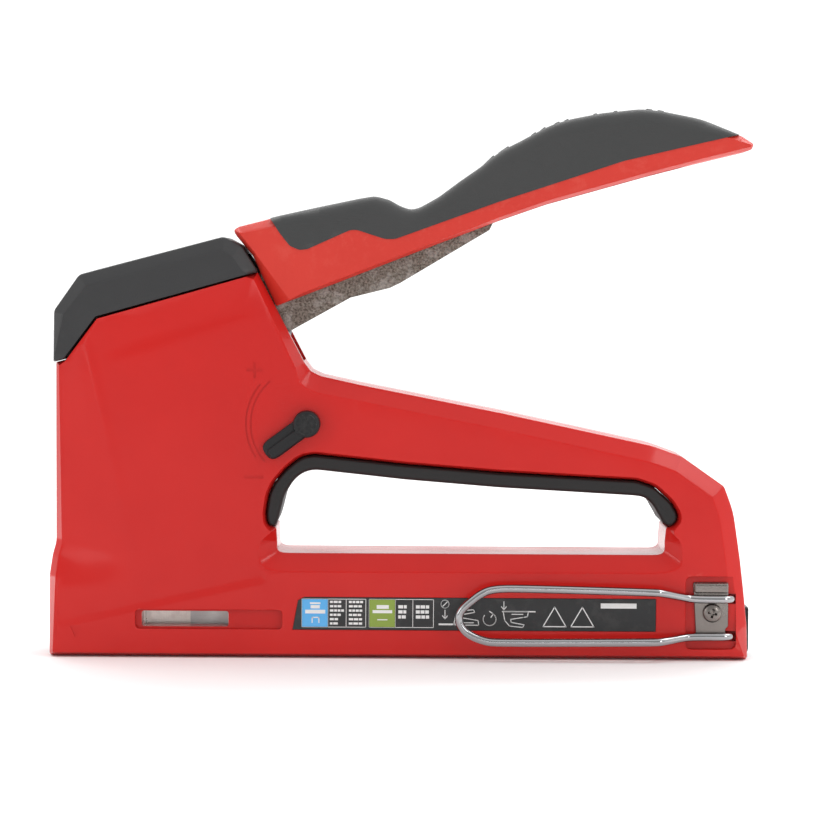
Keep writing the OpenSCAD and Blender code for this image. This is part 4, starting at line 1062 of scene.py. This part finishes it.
def inkBars(bm, x0, x1, rows, z1, pitch, height, spread):
    # short bars that stand for a column of figures
    for i in range(rows):
        z = z1 - i * pitch
        end = x1 - random.random() * spread
        at = x0
        while at < end - 0.5:
            wide = min(0.75 + random.random() * 0.7, end - at)
            inkPlate(bm, [(at, z - height), (at + wide, z - height), (at + wide, z), (at, z)], 0)
            at += wide + 0.22


def circle(x, z, r, start=0, stop=360, steps=20):
    return [(x + r * math.cos(a), z + r * math.sin(a)) for a in
            (math.radians(start + (stop - start) * s / steps) for s in range(steps + 1))]


def arrow(bm, x, z1, z0):
    inkLine(bm, [(x, z1), (x, z0)])
    inkLine(bm, [(x - 0.7, z0 + 0.9), (x, z0), (x + 0.7, z0 + 0.9)])


def toolDrawing(bm, x, z, way):
    # outline of a small stapler, upright or turned over
    shape = [(0, 0), (0.5, 2.6), (1.9, 4.2), (5.8, 4.6), (6.2, 3.8), (2.4, 3.1), (2.2, 2.2), (6, 1.6),
             (7.2, 1.4), (7.4, 0)]
    inkLine(bm, [(x + a, z + way * b) for a, b in shape], closed=True)
    inkLine(bm, [(x + a, z + way * b) for a, b in ((2.6, 0.7), (5.8, 0.7))])


def labelInk(name):
    bm = bmesh.new()
    x0, low, high = housing["label"][0][0], 9.4, 17.7
    blocks = ((x0 + 2.7, x0 + 10.4, 1), (x0 + 22.6, x0 + 30.3, 2))
    for a, b, slot in blocks:
        inkPlate(bm, [(a, low), (b, low), (b, high), (a, high)], slot)
    frames = ((x0 + 2.7, x0 + 21.6, (x0 + 10.4, x0 + 15.8)), (x0 + 22.6, x0 + 41.6, (x0 + 30.3, x0 + 35.5)))
    for a, b, splits in frames:
        inkLine(bm, [(a, low), (b, low), (b, high), (a, high)], closed=True, width=0.16)
        for split in splits:
            inkLine(bm, [(split, low), (split, high)], width=0.16)
    inkBars(bm, x0 + 11, x0 + 15.2, 6, 17.2, 1.28, 0.66, 1.2)
    inkBars(bm, x0 + 16.6, x0 + 21, 6, 17.2, 1.28, 0.66, 0.8)
    inkBars(bm, x0 + 31.2, x0 + 34.6, 3, 16.0, 1.5, 0.95, 1.0)
    inkBars(bm, x0 + 36.4, x0 + 41, 3, 16.0, 1.5, 0.95, 0.8)
    c = x0 + 45
    inkLine(bm, circle(c, 16.4, 1.2), width=0.2)
    inkLine(bm, [(c - 0.6, 15.8), (c + 0.6, 17)])
    arrow(bm, c, 14.6, 12)
    inkLine(bm, [(c - 1.6, 10.4), (c + 3.2, 10.4)], width=0.5)
    toolDrawing(bm, c + 2.6, 10.2, 1)
    inkLine(bm, circle(c + 13.2, 12, 1.9, -215, 60, 16), width=0.28)
    inkLine(bm, [(c + 13.2, 14.3), (c + 14.3, 13.6), (c + 13.6, 12.6)], width=0.28)
    arrow(bm, c + 17.4, 17.2, 14.8)
    toolDrawing(bm, c + 17.2, 14.2, -1)
    inkLine(bm, [(c + 17, 14.3), (c + 26.6, 14.3)], width=0.34)
    for a in (c + 29, c + 37.2):
        inkLine(bm, [(a, 9.9), (a + 6.8, 9.9), (a + 3.4, 15.7)], closed=True, width=0.3)
    inkPlate(bm, [(c + 46, 15.4), (c + 56.6, 15.4), (c + 56.6, 16.9), (c + 46, 16.9)], 0)
    return fromBmesh(name, bm)


def blockInk(name):
    # light bars on the two colour blocks
    bm = bmesh.new()
    x0 = housing["label"][0][0]
    y = -sideY - label["proud"] - label["ink"]
    for a, b, z0, z1 in ((5.1, 8.2, 16.2, 16.7), (5.3, 8, 14.9, 15.9), (3.7, 9.6, 13.4, 14.5),
                         (24.8, 28.4, 14.9, 16), (23.6, 29.4, 13.6, 14.5), (25, 28, 11.5, 11.8),
                         (5.6, 5.9, 10.6, 12.4), (7.6, 7.9, 10.6, 12.4), (5.6, 7.9, 12.1, 12.4)):
        rows = [[(x0 + a, t, z0), (x0 + b, t, z0), (x0 + b, t, z1), (x0 + a, t, z1)]
                for t in (y - 0.03, y + 0.02)]
        addBand(bm, rows, close=True)
    return fromBmesh(name, bm)


for side in ("Left", "Right"):
    node = side.lower() + "_label"
    made = [labelPlate("labelPlate" + side), labelInk("labelPrint" + side), blockInk("labelBars" + side)]
    plate, ink, bars = [mirrored(piece) for piece in made] if side == "Right" else made
    place(shade(plate, 40), node, "label_black", labelFilm)
    place(ink, node, "label_black", whiteInk)
    ink.data.materials.append(blueInk)
    ink.data.materials.append(oliveInk)
    place(bars, node, "label_black", whiteInk)
print("labels built")

# staples, springs and the magazine's end

staples = {"wire": 0.5, "half": 5.3, "top": 14.9, "low": 5.0}


def makeStaples(s):
    low, high = sizes("staple_stick")
    count = int((high.x - low.x) / s["wire"])
    bm = bmesh.new()
    t, o = s["wire"], s["half"]
    outer = [(-o, s["low"]), (-o, s["top"] - 0.35), (-o + 0.35, s["top"]), (o - 0.35, s["top"]),
             (o, s["top"] - 0.35), (o, s["low"]), (o - t, s["low"]), (o - t, s["top"] - t - 0.1),
             (o - t - 0.1, s["top"] - t), (-o + t + 0.1, s["top"] - t), (-o + t, s["top"] - t - 0.1),
             (-o + t, s["low"])]
    for i in range(count):
        x = low.x + i * t
        shift = (random.random() - 0.5) * 0.06
        rows = []
        for dx, shrink in ((0.02, 0.05), (0.09, 0.0), (t - 0.09, 0.0), (t - 0.02, 0.05)):
            rows.append([(x + dx, y * (1 - shrink / o), z - shrink + shift) for y, z in outer])
        addBand(bm, rows, close=True)
    return fromBmesh("stapleStick", bm)


place(makeStaples(staples), "staple_stick", "staple_steel", brightSteel)


# travel is how far the moving end comes up, axis the way the coil runs, start its first turn's shift
springs = {
    "power": {"turns": 10.5, "radius": 3.5, "wire": 1.7, "travel": 20.6, "axis": 2, "start": (0.2, 0, 0.5),
              "joint": "plunger_slide", "sides": 12},
    "pusher": {"turns": 62, "radius": 2.15, "wire": 0.5, "travel": 85, "axis": 0, "start": (0, 0, 0),
               "joint": "pusher_slide", "sides": 6},
    "latch": {"turns": 4.5, "radius": 1.15, "wire": 0.4, "travel": 1.767, "axis": 2, "start": (0, 0, 0),
              "joint": "latch_press", "sides": 8}}


def makeSpring(name, s):
    # a coil spring laid along its own axis from the low end of its CAD node's box
    low, high = sizes(name + "_spring")
    along = s["axis"]
    foot, top = (low + high) / 2, (low + high) / 2
    foot.y = top.y = 0
    foot[along], top[along] = low[along], high[along]
    length = high[along] - low[along]
    points = [Vector(p) for p in coilPath(s["radius"], s["wire"], length - s["start"][along], s["turns"])]
    if along == 0:
        points = [Vector((p.z, p.x, p.y)) for p in points]
    points = [p + foot + Vector(s["start"]) for p in points]
    piece = shade(tube(name + "Spring", points, s["wire"] / 2, s["sides"]), 70)
    place(piece, name + "_spring", "spring_steel", bluedSteel)
    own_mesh(piece)


for name, spring in springs.items():
    makeSpring(name, spring)


def magazineEnd():
    low, high = sizes("magazine_end")
    half = high.y
    face = [(x, z, 0.5, 1.4) for x, z, _ in rectangle(-half, 1.6, half, 15.2)]
    rows = [[(x, p.x, p.y) for p in ring(face, k)] for x, k in
            ((rx(1.2), 0), (high.x - 0.6, 0), (high.x - 0.25, 0.3), (high.x - 0.05, 0.8), (high.x, 1.6))]
    plate = skin("magazineEndPlate", rows)
    dish = [(x, z, 0.6, 1) for x, z, _ in rectangle(-half + 2.2, 8.6, half - 2.2, 13.4)]
    carve(plate, skin("cutter", [[(x, p.x, p.y) for p in ring(dish, k)] for x, k in
                                 ((high.x - 0.7, 1), (high.x, 0), (high.x + 1, -0.6))]))
    reach = sizes("magazine_rail")[1].y - 1.1
    block = [(x, z, 0.3, 0.5) for x, z, _ in rectangle(-reach, 7.3, reach, 13.1)]
    rows = [[(x, p.x, p.y) for p in ring(block, k)] for x, k in
            ((low.x, 1), (low.x + 0.3, 0), (rx(1.0), 0))]
    body = skin("magazineEndBlock", rows)
    carve(plate, prism("cutter", rectangle(rx(15), 0, rx(-2), 7.3), -2.6, 2.6))
    return joined("magazineEnd", [shade(plate, 35), shade(body, 35)])


place(magazineEnd(), "magazine_end", "end_plastic", blackPlastic)
print("magazine built")

# floor and studio light

studio = {
    "floor": 9000, "floorShade": (0.96, 0.96, 0.96), "sky": 1.2, "front": 0.5, "fade": (0.3, 0.88),
    "lamps": [
        ("backTop", (0, 560, 700), (0, 20, 60), 1100, 260, 4.5),
        ("rearTop", (560, -90, 760), (80, 0, 50), 300, 300, 1.1),
        ("rightFront", (730, -880, 440), (0, 0, 70), 130, 420, 1.3),
        ("leftFront", (-900, -700, 420), (0, 0, 70), 130, 420, 1.0),
        ("eyeLeft", (-440, -1430, 70), (0, 0, 70), 90, 420, 0.35),
        ("eyeTop", (60, -1490, 270), (0, 0, 70), 320, 70, 0.4)]}


def makeStudio(s):
    bm = bmesh.new()
    bmesh.ops.create_grid(bm, x_segments=8, y_segments=8, size=s["floor"] / 2)
    bmesh.ops.translate(bm, verts=bm.verts, vec=(0, 0, cadBox[0].z / mm - 0.02))
    floor = fromBmesh("floor", bm)
    material = bpy.data.materials.new("paperFloor")
    material.use_nodes = True
    surface = material.node_tree.nodes["Principled BSDF"]
    surface.inputs["Base Color"].default_value = (*s["floorShade"], 1)
    surface.inputs["Roughness"].default_value = 0.9
    floor.data.materials.append(material)
    world = bpy.data.worlds.new("studio")
    bpy.context.scene.world = world
    world.use_nodes = True
    tree = world.node_tree
    sky = tree.nodes["Background"]
    toward = addNode(tree, "VectorMath", operation="DOT_PRODUCT")
    tree.links.new(addNode(tree, "TexCoord").outputs["Generated"], toward.inputs[0])
    toward.inputs[1].default_value = (0, -1, 0)
    fade = addNode(tree, "MapRange", interpolation_type="SMOOTHSTEP")
    tree.links.new(toward.outputs["Value"], fade.inputs["Value"])
    fade.inputs["From Min"].default_value, fade.inputs["From Max"].default_value = s["fade"]
    fade.inputs["To Min"].default_value = s["sky"]
    fade.inputs["To Max"].default_value = s["front"]
    tree.links.new(fade.outputs["Result"], sky.inputs["Strength"])
    sky.inputs["Color"].default_value = (1, 1, 1, 1)
    for name, at, aim, wide, high, power in s["lamps"]:
        lamp = bpy.data.lights.new(name, "AREA")
        lamp.shape, lamp.size, lamp.size_y, lamp.energy = "RECTANGLE", wide * mm, high * mm, power
        stand = bpy.data.objects.new(name, lamp)
        bpy.context.scene.collection.objects.link(stand)
        stand.location = Vector(at) * mm
        stand.rotation_euler = (Vector(aim) - Vector(at)).to_track_quat("-Z", "Y").to_euler()
    bpy.context.scene.view_settings.view_transform = "Standard"


makeStudio(studio)
print("studio lit")
